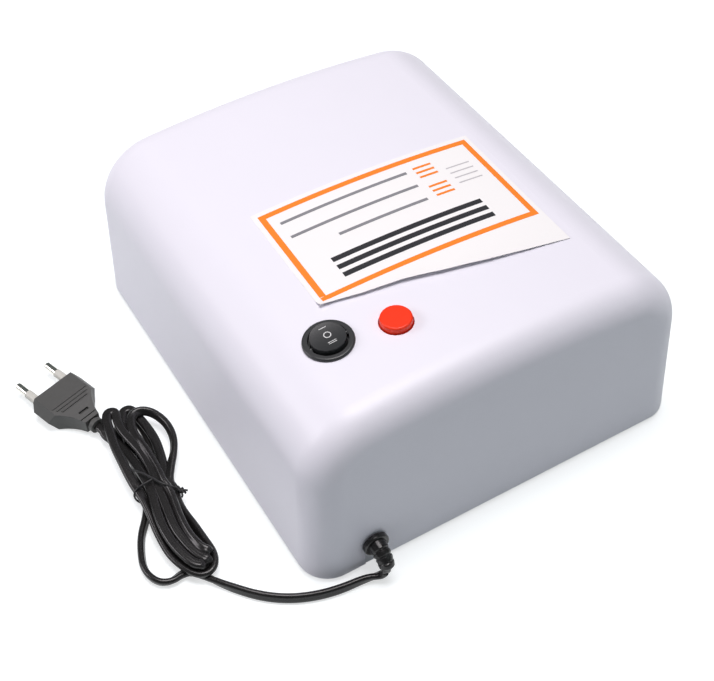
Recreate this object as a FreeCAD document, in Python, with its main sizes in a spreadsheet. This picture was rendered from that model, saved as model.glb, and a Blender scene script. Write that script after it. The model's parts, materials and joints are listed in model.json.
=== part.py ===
import FreeCAD, Part
import math
import os

import Sketcher
from FreeCAD import Placement, Rotation, Vector

# Stamp exposure unit: a table-top ultraviolet lamp box, millimetres, +Z up.
# The front with the exposure opening looks to -Y, the cord leaves the rear wall at +Y.
# The origin is on the surface that the feet stand on, under the middle of the casing.

DRIVING_SIZES = [
    # casing
    ("casing_width", 203.0),
    ("casing_depth", 235.0),
    ("casing_height", 93.5),
    ("casing_wall", 2.5),
    ("side_draft", 0.047),
    ("end_draft", 0.040),
    ("crown_radius", 700.0),
    ("side_round", 32.8),
    ("end_round", 15.0),
    ("opening_width", 150.0),
    ("opening_height", 63.0),
    ("opening_round", 22.0),
    # base
    ("foot_height", 2.5),
    ("foot_diameter", 13.0),
    ("foot_inset_x", 26.0),
    ("foot_inset_y", 28.0),
    ("plate_thickness", 2.5),
    ("fit_gap", 0.3),
    ("post_diameter", 9.0),
    ("post_inset_x", 8.5),
    ("post_inset_y", 11.5),
    ("vent_width", 3.0),
    ("vent_length", 16.0),
    ("vent_pitch", 7.5),
    # tray
    ("tray_width", 138.0),
    ("tray_thickness", 2.0),
    ("tray_lip_height", 12.0),
    ("rail_wall", 2.4),
    ("rail_lip", 2.0),
    ("mirror_thickness", 0.5),
    # reflector hood and bulkhead
    ("hood_sheet", 0.6),
    ("hood_side_gap", 14.5),
    ("hood_shoulder", 52.0),
    ("hood_top_width", 120.0),
    ("hood_top", 83.0),
    ("chamber_front_gap", 7.5),
    ("boss_inset_side", 8.0),
    ("boss_inset_front", 24.0),
    ("boss_inset_back", 15.0),
    ("boss_wall", 2.1),
    ("rear_room", 77.5),
    ("bulkhead_thickness", 2.5),
    ("bulkhead_foot", 9.0),
    # lamps
    ("tube_diameter", 12.5),
    ("tube_glass", 0.9),
    ("leg_spacing", 15.6),
    ("lamp_front_gap", 22.0),
    ("lamp_base_length", 26.0),
    ("lamp_base_width", 32.0),
    ("lamp_base_thickness", 18.0),
    ("lamp_pin_diameter", 2.4),
    ("lamp_pin_length", 5.5),
    ("lamp_nose_width", 26.0),
    ("lamp_nose_thickness", 12.0),
    ("lamp_nose_length", 10.5),
    ("lamp_pin_spacing", 14.0),
    ("socket_depth", 15.0),
    ("socket_rim", 2.5),
    ("top_lamp_x", 31.0),
    ("top_lamp_z", 72.0),
    ("side_lamp_gap", 10.0),
    ("side_lamp_z", 37.0),
    ("clip_setback", 26.0),
    ("clip_width", 7.0),
    ("clip_sheet", 0.5),
    # screws
    ("screw_diameter", 2.8),
    ("screw_head_diameter", 5.6),
    ("screw_head_height", 1.7),
    ("thread_gap", 0.1),
    ("post_screw_reach", 10.0),
    ("hood_screw_reach", 5.5),
    # circuit board
    ("board_length", 126.0),
    ("board_depth", 46.0),
    ("board_thickness", 1.6),
    ("board_height", 8.0),
    ("board_left", -80.0),
    ("board_back_gap", 11.5),
    # rocker switch
    ("switch_x", 61.1),
    ("switch_back", 52.2),
    ("bezel_diameter", 23.2),
    ("bezel_height", 1.3),
    ("barrel_diameter", 19.6),
    ("barrel_depth", 15.0),
    ("rocker_diameter", 16.0),
    ("rocker_rise", 3.6),
    ("rocker_dish", 0.6),
    ("rocker_gap", 1.1),
    # timer button
    ("button_x", 31.5),
    ("button_back", 45.4),
    ("button_diameter", 14.5),
    ("button_rise", 3.2),
    ("button_gap", 0.65),
    ("button_travel", 2.0),
    ("button_round", 0.9),
    ("guide_wall", 1.5),
    ("spring_wire", 0.6),
    ("spring_diameter", 8.0),
    # label
    ("label_length", 119.5),
    ("label_width", 69.5),
    ("label_flare", 20.0),
    ("label_x", -5.6),
    ("label_y", 13.5),
    ("label_turn", -0.84),
    ("label_thickness", 0.25),
    # cord
    ("cord_x", 70.7),
    ("cord_z", 16.1),
    ("collar_diameter", 12.6),
    ("collar_thickness", 2.4),
    ("neck_diameter", 9.4),
    ("relief_diameter", 9.0),
    ("relief_end_diameter", 6.6),
    ("relief_bend", 8.5),
    ("cord_diameter", 4.0),
    ("tie_diameter", 1.3),
    # plug
    ("plug_width", 30.0),
    ("plug_thickness", 11.5),
    ("plug_top_width", 23.0),
    ("plug_face_width", 25.6),
    ("plug_chamfer_depth", 2.2),
    ("plug_shoulder", 13.2),
    ("plug_taper_end", 29.5),
    ("plug_neck_width", 8.4),
    ("plug_flank_radius", 26.0),
    ("plug_length", 33.0),
    ("plug_collar_diameter", 7.8),
    ("pin_diameter", 4.0),
    ("pin_length", 18.0),
    ("pin_spacing", 18.4),
    ("sleeve_length", 9.4),
    ("sleeve_diameter", 4.6),
]


class Size:
    """A length that keeps its number together with the sheet expression that gives it."""

    def __init__(self, number, text):
        self.number = float(number)
        self.text = text

    def __float__(self):
        return self.number

    def __add__(self, other):
        other = as_size(other)
        return Size(self.number + other.number, f"({self.text} + {other.text})")

    __radd__ = __add__

    def __sub__(self, other):
        other = as_size(other)
        return Size(self.number - other.number, f"({self.text} - {other.text})")

    def __rsub__(self, other):
        return as_size(other) - self

    def __mul__(self, other):
        other = as_size(other)
        return Size(self.number * other.number, f"({self.text} * {other.text})")

    __rmul__ = __mul__

    def __truediv__(self, other):
        other = as_size(other)
        return Size(self.number / other.number, f"({self.text} / {other.text})")

    def __neg__(self):
        return Size(-self.number, f"(0 - {self.text})")


def as_size(value):
    if isinstance(value, Size):
        return value
    return Size(value, f"({float(value)!r})")


def square_root(value):
    return Size(math.sqrt(value.number), f"sqrt({value.text})")


doc = FreeCAD.newDocument("stamp_exposure_unit")
sheet = doc.addObject("Spreadsheet::Sheet", "Sizes")
S = {}
for row, (alias, number) in enumerate(DRIVING_SIZES, start=1):
    sheet.set(f"A{row}", alias)
    sheet.set(f"B{row}", str(number))
    sheet.setAlias(f"B{row}", alias)
    S[alias] = Size(number, f"Sizes.{alias}")
doc.recompute()

# Sizes that follow from the driving ones
S["hood_width"] = S["casing_width"] - S["hood_side_gap"] * 2
S["side_lamp_x"] = S["hood_width"] / 2 - S["side_lamp_gap"]
S["bulkhead_y"] = S["casing_depth"] / 2 - S["rear_room"]
S["chamber_depth"] = S["bulkhead_y"] + S["casing_depth"] / 2 - S["chamber_front_gap"]
S["lamp_reach"] = S["chamber_depth"] - S["lamp_front_gap"]
S["board_front"] = S["casing_depth"] / 2 - S["board_back_gap"] - S["board_depth"]
S["switch_y"] = S["casing_depth"] / 2 - S["switch_back"]
S["button_y"] = S["casing_depth"] / 2 - S["button_back"]

nodes = []


def node(name, thing):
    """Gives a finished sub-part the name that its file takes."""
    thing.Label = name
    nodes.append(thing)
    return thing


def bind(thing, path, value):
    thing.setExpression(path, as_size(value).text)


def put(thing, at, turn=None):
    """Places a thing at three bound coordinates, turned by a fixed rotation."""
    if turn is not None:
        thing.Placement = Placement(Vector(), turn)
    for axis, value in zip("xyz", at):
        bind(thing, f"Placement.Base.{axis}", value)
    return thing


AXIS_TURNS = {
    "x": Rotation(Vector(0, 0, 1), Vector(1, 0, 0)),
    "y": Rotation(Vector(0, 0, 1), Vector(0, 1, 0)),
    "z": Rotation(),
}


def block(name, size, corner):
    box = doc.addObject("Part::Box", name)
    for side, length in zip(("Length", "Width", "Height"), size):
        bind(box, side, length)
    return put(box, corner)


def centred_block(name, size, middle_of_base):
    """A block that stands on the given point, centred on it along X and Y."""
    x, y, z = middle_of_base
    return block(name, size, (x - as_size(size[0]) / 2, y - as_size(size[1]) / 2, z))


def rod(name, radius, length, base, along="z"):
    cylinder = doc.addObject("Part::Cylinder", name)
    bind(cylinder, "Radius", radius)
    bind(cylinder, "Height", length)
    return put(cylinder, base, AXIS_TURNS[along])


def ball(name, radius, centre):
    sphere = doc.addObject("Part::Sphere", name)
    bind(sphere, "Radius", radius)
    return put(sphere, centre)


def fuse(name, *things):
    joined = doc.addObject("Part::MultiFuse", name)
    joined.Shapes = list(things)
    joined.Refine = True
    return joined


def common(name, *things):
    shared = doc.addObject("Part::MultiCommon", name)
    shared.Shapes = list(things)
    shared.Refine = True
    return shared


def cut(name, base, *tools):
    tool = tools[0] if len(tools) == 1 else fuse(f"{name}_tools", *tools)
    result = doc.addObject("Part::Cut", name)
    result.Base = base
    result.Tool = tool
    result.Refine = True
    return result


def group(name, things):
    """Identical pieces that share one node, each still its own solid."""
    together = doc.addObject("Part::Compound", name)
    together.Links = list(things)
    return together


def rounded(name, base, radius, chosen):
    """Rounds those edges of a thing that the test chosen picks."""
    doc.recompute()
    fillet = doc.addObject("Part::Fillet", name)
    fillet.Base = base
    picked = [index for index, edge in enumerate(base.Shape.Edges, start=1) if chosen(edge)]
    fillet.Edges = [(index, float(radius), float(radius)) for index in picked]
    return fillet


def runs_along(edge, axis):
    """True for a straight edge that lies along the given axis."""
    if edge.Curve.TypeId != "Part::GeomLine":
        return False
    return abs(abs(edge.tangentAt(edge.FirstParameter).dot(axis)) - 1) < 1e-3


X_AXIS, Y_AXIS, Z_AXIS = Vector(1, 0, 0), Vector(0, 1, 0), Vector(0, 0, 1)


def new_body(name):
    return doc.addObject("PartDesign::Body", name)


def new_sketch(body, name, plane, offset=None):
    sketch = body.newObject("Sketcher::SketchObject", name)
    origin = [item for item in body.Origin.OriginFeatures if item.Role == plane][0]
    sketch.AttachmentSupport = [(origin, "")]
    sketch.MapMode = "FlatFace"
    if offset is not None:
        bind(sketch, "AttachmentOffset.Base.z", offset)
    return sketch


def draw_outline(sketch, corners):
    """Adds a closed outline of straight sides whose corners are bound to the sheet."""
    points = [Vector(float(x), float(y), 0) for x, y in corners]
    first = sketch.GeometryCount
    count = len(corners)
    for index, start in enumerate(points):
        sketch.addGeometry(Part.LineSegment(start, points[(index + 1) % count]), False)
    for index in range(count):
        follower = first + (index + 1) % count
        sketch.addConstraint(Sketcher.Constraint("Coincident", first + index, 2, follower, 1))
    for index, corner in enumerate(corners):
        for kind, value in zip(("DistanceX", "DistanceY"), corner):
            fixed = Sketcher.Constraint(kind, -1, 1, first + index, 1, float(value))
            place = sketch.addConstraint(fixed)
            bind(sketch, f"Constraints[{place}]", value)


def rectangle(width, depth):
    """The corners of a rectangle about the origin."""
    half_width, half_depth = width / 2, depth / 2
    return [(-half_width, -half_depth), (half_width, -half_depth),
            (half_width, half_depth), (-half_width, half_depth)]


def pad(body, sketch, length, name="Pad", both_ways=False):
    feature = body.newObject("PartDesign::Pad", name)
    feature.Profile = sketch
    bind(feature, "Length", length)
    feature.Midplane = both_ways
    return feature


def pocket(body, sketch, length, name="Pocket", both_ways=False):
    feature = body.newObject("PartDesign::Pocket", name)
    feature.Profile = sketch
    bind(feature, "Length", length)
    feature.Midplane = both_ways
    return feature


def rounded_edges(body, base, radius, chosen, name):
    """A fillet inside a body on those edges of its last feature that the test picks."""
    doc.recompute()
    feature = body.newObject("PartDesign::Fillet", name)
    picked = [f"Edge{index}" for index, edge in enumerate(base.Shape.Edges, start=1) if chosen(edge)]
    feature.Base = (base, picked)
    bind(feature, "Radius", radius)
    return feature


def both_sides(size):
    """A size to the left and to the right of the middle."""
    return (-size, size)


# Levels and faces that many pieces share
RIM = S["foot_height"]
PLATE_TOP = RIM + S["plate_thickness"]
HALF_DEPTH = S["casing_depth"] / 2
INNER_HALF_WIDTH = S["casing_width"] / 2 - S["casing_wall"]
INNER_HALF_DEPTH = HALF_DEPTH - S["casing_wall"]
SCREW_RADIUS = S["screw_diameter"] / 2
HOLE_RADIUS = SCREW_RADIUS + S["thread_gap"]
POST_X = INNER_HALF_WIDTH - S["post_inset_x"] + S["casing_wall"]
POST_Y = INNER_HALF_DEPTH - S["post_inset_y"] + S["casing_wall"]
POST_PLACES = [(x, y) for x in both_sides(POST_X) for y in both_sides(POST_Y)]
HOOD_FRONT = S["bulkhead_y"] - S["chamber_depth"]
BOSS_PLACES = [(x, y) for x in both_sides(S["hood_top_width"] / 2 - S["boss_inset_side"])
               for y in (HOOD_FRONT + S["boss_inset_front"], S["bulkhead_y"] - S["boss_inset_back"])]
POST_SCREW_REACH = S["post_screw_reach"]
HOOD_SCREW_REACH = S["hood_screw_reach"]
MARGIN = 6.0


def crown_turn(x):
    """The turn of something that sits square on the arched top, its own +Z outwards."""
    lean = math.degrees(math.asin(float(x) / float(S["crown_radius"])))
    return Rotation(Y_AXIS, lean)


def crown_level(x):
    """Height of the arched top above the floor at the given x."""
    crown = S["crown_radius"]
    return RIM + S["casing_height"] - crown + square_root(crown * crown - x * x)


def on_crown(thing, x, y):
    return put(thing, (x, y, crown_level(x)), crown_turn(x))


def loaf(name, inset):
    """The arched, well rounded form of the casing, drawn in by an inset all round."""
    height = S["casing_height"] - inset
    half = S["casing_width"] / 2 - inset
    top_half = half - S["side_draft"] * height
    crown = S["crown_radius"] - inset
    shoulder = height - crown + square_root(crown * crown - top_half * top_half)
    depth = S["casing_depth"] - inset * 2
    body = new_body(name)
    section = new_sketch(body, f"{name}_section", "XZ_Plane")
    corners = [(-top_half, shoulder), (-half, as_size(0)), (half, as_size(0)), (top_half, shoulder)]
    points = [Vector(float(x), float(z), 0) for x, z in corners]
    for start, end in zip(points, points[1:]):
        section.addGeometry(Part.LineSegment(start, end), False)
    section.addGeometry(Part.Arc(points[3], Vector(0, float(height), 0), points[0]), False)
    for index, (line, end) in enumerate(((0, 1), (1, 1), (2, 1), (2, 2))):
        for kind, value in zip(("DistanceX", "DistanceY"), corners[index]):
            fixed = Sketcher.Constraint(kind, -1, 1, line, end, float(value))
            place = section.addConstraint(fixed)
            bind(section, f"Constraints[{place}]", value)
    section.addConstraint(Sketcher.Constraint("Coincident", 0, 2, 1, 1))
    section.addConstraint(Sketcher.Constraint("Coincident", 1, 2, 2, 1))
    section.addConstraint(Sketcher.Constraint("Coincident", 3, 1, 2, 2))
    section.addConstraint(Sketcher.Constraint("Coincident", 3, 2, 0, 1))
    place = section.addConstraint(Sketcher.Constraint("Radius", 3, float(crown)))
    bind(section, f"Constraints[{place}]", crown)
    pad(body, section, depth, f"{name}_pad", both_ways=True)
    ends = new_sketch(body, f"{name}_ends", "YZ_Plane")
    reach = height + MARGIN
    for sign in (1, -1):
        foot = depth / 2
        lean = foot - S["end_draft"] * reach
        draw_outline(ends, [(foot * sign, as_size(0)), ((foot + MARGIN) * sign, as_size(0)),
                            ((foot + MARGIN) * sign, reach), (lean * sign, reach)])
    drafted = pocket(body, ends, S["casing_width"] + MARGIN, f"{name}_drafted", both_ways=True)
    level = float(shoulder)

    def is_side_top(edge):
        return (abs(edge.tangentAt(edge.FirstParameter).y) > 0.99
                and all(abs(vertex.Z - level) < 0.01 for vertex in edge.Vertexes))

    sides = rounded_edges(body, drafted, S["side_round"] - inset, is_side_top, f"{name}_sides")

    def is_end_rim(edge):
        box = edge.BoundBox
        leans_back = abs(edge.CenterOfMass.y) > float(depth) / 2 - float(S["end_draft"]) * float(reach)
        return leans_back and box.YLength < box.DiagonalLength * 0.2 and box.ZMax > 0.01

    rounded_edges(body, sides, S["end_round"] - inset, is_end_rim, f"{name}_end_rims")
    bind(body, "Placement.Base.z", RIM)
    return body


def make_casing():
    outer = loaf("outer_form", as_size(0))
    inner = loaf("inner_form", S["casing_wall"])
    shell = cut("casing_shell", outer, inner)
    tall = S["casing_height"]
    pillars = []
    for index, (x, y) in enumerate(POST_PLACES):
        pillars.append(rod(f"post_{index}", S["post_diameter"] / 2, tall, (x, y, PLATE_TOP)))
    hood_level = S["hood_top"]
    boss_radius = SCREW_RADIUS + S["boss_wall"]
    for index, (x, y) in enumerate(BOSS_PLACES):
        pillars.append(rod(f"hood_boss_{index}", boss_radius, tall, (x, y, hood_level)))
    trimmed = common("posts_in_casing", fuse("all_posts", *pillars), outer)
    whole = fuse("casing_with_posts", shell, trimmed)
    holes = []
    for index, (x, y) in enumerate(POST_PLACES):
        holes.append(rod(f"post_hole_{index}", HOLE_RADIUS, POST_SCREW_REACH + 1, (x, y, PLATE_TOP)))
    for index, (x, y) in enumerate(BOSS_PLACES):
        holes.append(rod(f"hood_boss_hole_{index}", HOLE_RADIUS, HOOD_SCREW_REACH + 0.5,
                         (x, y, hood_level)))
    opening = block("opening_block", (S["opening_width"], S["casing_wall"] + MARGIN * 2,
                                      S["opening_height"] + MARGIN),
                    (-S["opening_width"] / 2, -HALF_DEPTH - MARGIN, RIM - MARGIN))
    opening = rounded("exposure_opening", opening, S["opening_round"],
                      lambda edge: runs_along(edge, Y_AXIS) and edge.CenterOfMass.z > 20)
    holes.append(opening)
    for name, radius, x, y in (
            ("switch_hole", S["barrel_diameter"] / 2 + S["fit_gap"], S["switch_x"], S["switch_y"]),
            ("button_hole", S["button_diameter"] / 2 + S["button_gap"], S["button_x"], S["button_y"])):
        bore = rod(f"{name}_bore", radius, MARGIN * 2, (0, 0, -MARGIN))
        holes.append(on_crown(group(name, [bore]), x, y))
    neck = S["neck_diameter"] / 2 + S["fit_gap"] / 3
    start = HALF_DEPTH - MARGIN * 2
    holes.append(rod("grommet_hole", neck, MARGIN * 3, (S["cord_x"], start, S["cord_z"]), "y"))
    holes.append(block("grommet_notch", (neck * 2, MARGIN * 3, S["cord_z"] - RIM + MARGIN),
                       (S["cord_x"] - neck, start, RIM - MARGIN)))
    node("upper_casing", cut("finished_casing", whole, *holes))


def screw(name, reach, at, points_up):
    """A pan head screw: the head's seat is at the given level, the shank goes up or down from it."""
    x, y, z = at
    head = S["screw_head_height"]
    if points_up:
        shank_base, head_base = z, z - head
    else:
        shank_base, head_base = z - reach, z
    shank = rod(f"{name}_shank", SCREW_RADIUS, reach, (x, y, shank_base))
    cap = rod(f"{name}_head", S["screw_head_diameter"] / 2, head, (x, y, head_base))
    slot_level = head_base + head - 0.7 if not points_up else head_base
    slots = [centred_block(f"{name}_slot_{turn}", size, (x, y, slot_level))
             for turn, size in enumerate(((3.4, 0.7, 0.7), (0.7, 3.4, 0.7)))]
    return cut(name, fuse(f"{name}_blank", shank, cap), *slots)


def make_base_plate():
    gap = S["fit_gap"]
    lean_x = S["side_draft"] * S["plate_thickness"]
    width = (INNER_HALF_WIDTH - gap - lean_x) * 2
    depth = (INNER_HALF_DEPTH - gap - lean_x) * 2
    body = new_body("floor_panel")
    outline = new_sketch(body, "floor_outline", "XY_Plane")
    draw_outline(outline, rectangle(width, depth))
    slab = pad(body, outline, S["plate_thickness"], "floor_pad")
    corner = S["end_round"] - S["casing_wall"]
    rounded_edges(body, slab, corner, lambda edge: runs_along(edge, Z_AXIS), "floor_corners")
    vents = new_sketch(body, "vent_outline", "XY_Plane")
    first_x = -S["vent_pitch"] * (VENT_COLUMNS - 1) / 2
    for middle_y in (BOARD_MIDDLE_Y - S["vent_length"] * 0.65, BOARD_MIDDLE_Y + S["vent_length"] * 0.65):
        low, high = middle_y - S["vent_length"] / 2, middle_y + S["vent_length"] / 2
        left, right = first_x - S["vent_width"] / 2, first_x + S["vent_width"] / 2
        draw_outline(vents, [(left, low), (right, low), (right, high), (left, high)])
    slots = pocket(body, vents, S["plate_thickness"] * 2 + MARGIN, "vent_pocket", both_ways=True)
    doc.recompute()
    row = body.newObject("PartDesign::LinearPattern", "vent_row")
    row.Originals = [slots]
    row.Direction = (outline, ["H_Axis"])
    bind(row, "Length", S["vent_pitch"] * (VENT_COLUMNS - 1))
    row.Occurrences = VENT_COLUMNS
    body.Tip = row
    bind(body, "Placement.Base.z", RIM)

    extras = []
    rail_side = S["tray_width"] / 2 + gap
    rail_depth = S["chamber_depth"] - S["bulkhead_foot"]
    lip_level = PLATE_TOP + gap * 2 + S["tray_thickness"]
    for index, sign in enumerate((-1, 1)):
        wall_left = rail_side if sign > 0 else -rail_side - S["rail_wall"]
        lip_left = rail_side - S["rail_lip"] if sign > 0 else -rail_side
        wall = block(f"rail_wall_{index}", (S["rail_wall"], rail_depth, lip_level - PLATE_TOP),
                     (wall_left, HOOD_FRONT, PLATE_TOP))
        if sign > 0:
            corner_x = lip_left
        else:
            corner_x = -rail_side - S["rail_wall"]
        lip = block(f"rail_lip_{index}", (S["rail_wall"] + S["rail_lip"], rail_depth, 1.6),
                    (corner_x, HOOD_FRONT, lip_level))
        extras += [wall, lip]
    for index, (x, y) in enumerate(BOARD_SCREW_PLACES):
        extras.append(rod(f"standoff_{index}", SCREW_RADIUS + 1.7, S["board_height"], (x, y, PLATE_TOP)))
    notch_width = S["neck_diameter"] - gap * 2
    tab_top = S["cord_z"] - S["neck_diameter"] / 2 - gap
    tab_depth = HALF_DEPTH - depth / 2
    tab = block("notch_tab", (notch_width, tab_depth, tab_top - RIM),
                (S["cord_x"] - notch_width / 2, depth / 2 - 0.5, RIM))
    extras.append(tab)
    holes = []
    for index, (x, y) in enumerate(POST_PLACES):
        holes.append(rod(f"plate_hole_{index}", HOLE_RADIUS, MARGIN * 2, (x, y, RIM - MARGIN)))
    for index, (x, y) in enumerate(BULKHEAD_SCREW_PLACES):
        holes.append(rod(f"foot_hole_{index}", HOLE_RADIUS, MARGIN * 2, (x, y, RIM - MARGIN)))
    for index, (x, y) in enumerate(BOARD_SCREW_PLACES):
        holes.append(rod(f"standoff_hole_{index}", HOLE_RADIUS, S["board_height"],
                         (x, y, PLATE_TOP + 1)))
    node("base_plate", cut("drilled_base", fuse("floor_with_rails", body, *extras), *holes))

    feet = []
    for index, (x, y) in enumerate(FOOT_PLACES):
        foot = rod(f"foot_{index}", S["foot_diameter"] / 2, S["foot_height"], (x, y, 0))
        feet.append(rounded(f"soft_foot_{index}", foot, 0.6, lambda edge: edge.CenterOfMass.z < 0.1
                            and edge.Curve.TypeId == "Part::GeomCircle"))
    node("rubber_feet", group("feet", feet))
    node("base_screws", group("casing_screws", [
        screw(f"base_screw_{index}", S["plate_thickness"] + POST_SCREW_REACH - 1, (x, y, RIM), True)
        for index, (x, y) in enumerate(POST_PLACES)]))


def make_tray():
    gap = S["fit_gap"]
    level = PLATE_TOP + gap
    front = -HALF_DEPTH
    back = S["bulkhead_y"] - 2
    lip_back = -INNER_HALF_DEPTH - gap
    body = new_body("tray_panel")
    outline = new_sketch(body, "tray_outline", "XY_Plane")
    half = S["tray_width"] / 2
    draw_outline(outline, [(-half, lip_back - 0.5), (half, lip_back - 0.5), (half, back), (-half, back)])
    pad(body, outline, S["tray_thickness"], "tray_pad")
    bind(body, "Placement.Base.z", level)
    lip = centred_block("tray_lip", (S["opening_width"] - gap * 2, lip_back - front, S["tray_lip_height"]),
                        (as_size(0), (front + lip_back) / 2, RIM + gap * 2))
    scoop_radius = S["tray_lip_height"] * 1.6
    scoop = rod("finger_scoop", scoop_radius, MARGIN * 2,
                (as_size(0), front - MARGIN, RIM + S["tray_lip_height"] * 0.62 + scoop_radius), "y")
    node("slide_tray", cut("finished_tray", fuse("tray_with_lip", body, lip), scoop))
    sheet_width = (S["tray_width"] / 2 - S["rail_lip"] - gap * 2) * 2
    sheet_depth = back - 1 - HOOD_FRONT
    node("tray_reflector", centred_block("tray_sheet", (sheet_width, sheet_depth, S["mirror_thickness"]),
         (as_size(0), HOOD_FRONT + sheet_depth / 2, level + S["tray_thickness"])))


def hood_outline(drawn_in):
    """Half hexagon of the lamp chamber, from floor to shoulder to roof, drawn in by a thickness."""
    half = S["hood_width"] / 2 - drawn_in
    top_half = S["hood_top_width"] / 2 - drawn_in * 0.6
    floor, shoulder, roof = PLATE_TOP, S["hood_shoulder"], S["hood_top"] - drawn_in
    return [(-half, floor), (half, floor), (half, shoulder), (top_half, roof),
            (-top_half, roof), (-half, shoulder)]


def chamber_slab(name, corners, length, front):
    """A slab of the chamber's section, from the given front towards +Y."""
    body = new_body(name)
    section = new_sketch(body, f"{name}_section", "XZ_Plane")
    draw_outline(section, corners)
    pad(body, section, length, f"{name}_pad", both_ways=True)
    bind(body, "Placement.Base.y", front + length / 2)
    return body


def make_chamber():
    sheet_metal = S["hood_sheet"]
    bulkhead = S["bulkhead_y"]
    outer = chamber_slab("hood_outside", hood_outline(as_size(0)), S["chamber_depth"], HOOD_FRONT)
    inner_corners = hood_outline(sheet_metal)
    inner_corners[0] = (inner_corners[0][0], PLATE_TOP - MARGIN)
    inner_corners[1] = (inner_corners[1][0], PLATE_TOP - MARGIN)
    inner = chamber_slab("hood_inside", inner_corners, S["chamber_depth"] + MARGIN, HOOD_FRONT - MARGIN / 2)
    holes = [rod(f"hood_hole_{index}", HOLE_RADIUS, MARGIN * 2, (x, y, S["hood_top"] - MARGIN))
             for index, (x, y) in enumerate(BOSS_PLACES)]
    node("reflector_hood", cut("bent_hood", outer, inner, *holes))
    node("reflector_screws", group("hood_screws", [
        screw(f"hood_screw_{index}", sheet_metal + HOOD_SCREW_REACH, (x, y, S["hood_top"] - sheet_metal),
              True)
        for index, (x, y) in enumerate(BOSS_PLACES)]))

    wall = chamber_slab("bulkhead_wall", hood_outline(as_size(0)), S["bulkhead_thickness"], bulkhead)
    foot = centred_block("bulkhead_tread", (S["hood_width"] - 8, S["bulkhead_foot"], S["plate_thickness"]),
                         (as_size(0), bulkhead + S["bulkhead_thickness"] + S["bulkhead_foot"] / 2 - 0.1,
                          PLATE_TOP))
    clearance = S["fit_gap"]
    windows = []
    for index, (x, z, turned) in enumerate(LAMP_PLACES):
        wide, tall = S["lamp_nose_width"] + clearance * 2, S["lamp_nose_thickness"] + clearance * 2
        if turned:
            wide, tall = tall, wide
        windows.append(centred_block(f"lamp_window_{index}", (wide, MARGIN * 3, tall),
                                     (x, bulkhead, z - tall / 2)))
    foot_holes = [rod(f"tread_hole_{index}", HOLE_RADIUS, MARGIN * 2, (x, y, RIM))
                  for index, (x, y) in enumerate(BULKHEAD_SCREW_PLACES)]
    node("rear_bulkhead", cut("pierced_bulkhead", fuse("bulkhead_with_foot", wall, foot), *windows,
                              *foot_holes))
    node("bulkhead_screws", group("foot_screws", [
        screw(f"bulkhead_screw_{index}", S["plate_thickness"] * 2 - 0.3,
              (x, y, PLATE_TOP + S["plate_thickness"]), False)
        for index, (x, y) in enumerate(BULKHEAD_SCREW_PLACES)]))
    low = hood_outline(sheet_metal + clearance)
    low[0] = (low[0][0], PLATE_TOP + S["tray_thickness"] + MARGIN)
    low[1] = (low[1][0], PLATE_TOP + S["tray_thickness"] + MARGIN)
    mirror = chamber_slab("rear_sheet", low, S["mirror_thickness"], bulkhead - S["mirror_thickness"])
    node("rear_reflector", cut("pierced_sheet", mirror, fuse("window_set", *windows)))


def as_lamp(thing, x, z, turned):
    """Stands a lamp's piece in its place; the side lamps are turned a quarter about their length."""
    turn = Rotation(Y_AXIS, 90) if turned else Rotation()
    return put(thing, (x, LAMP_BACK, z), turn)


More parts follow.
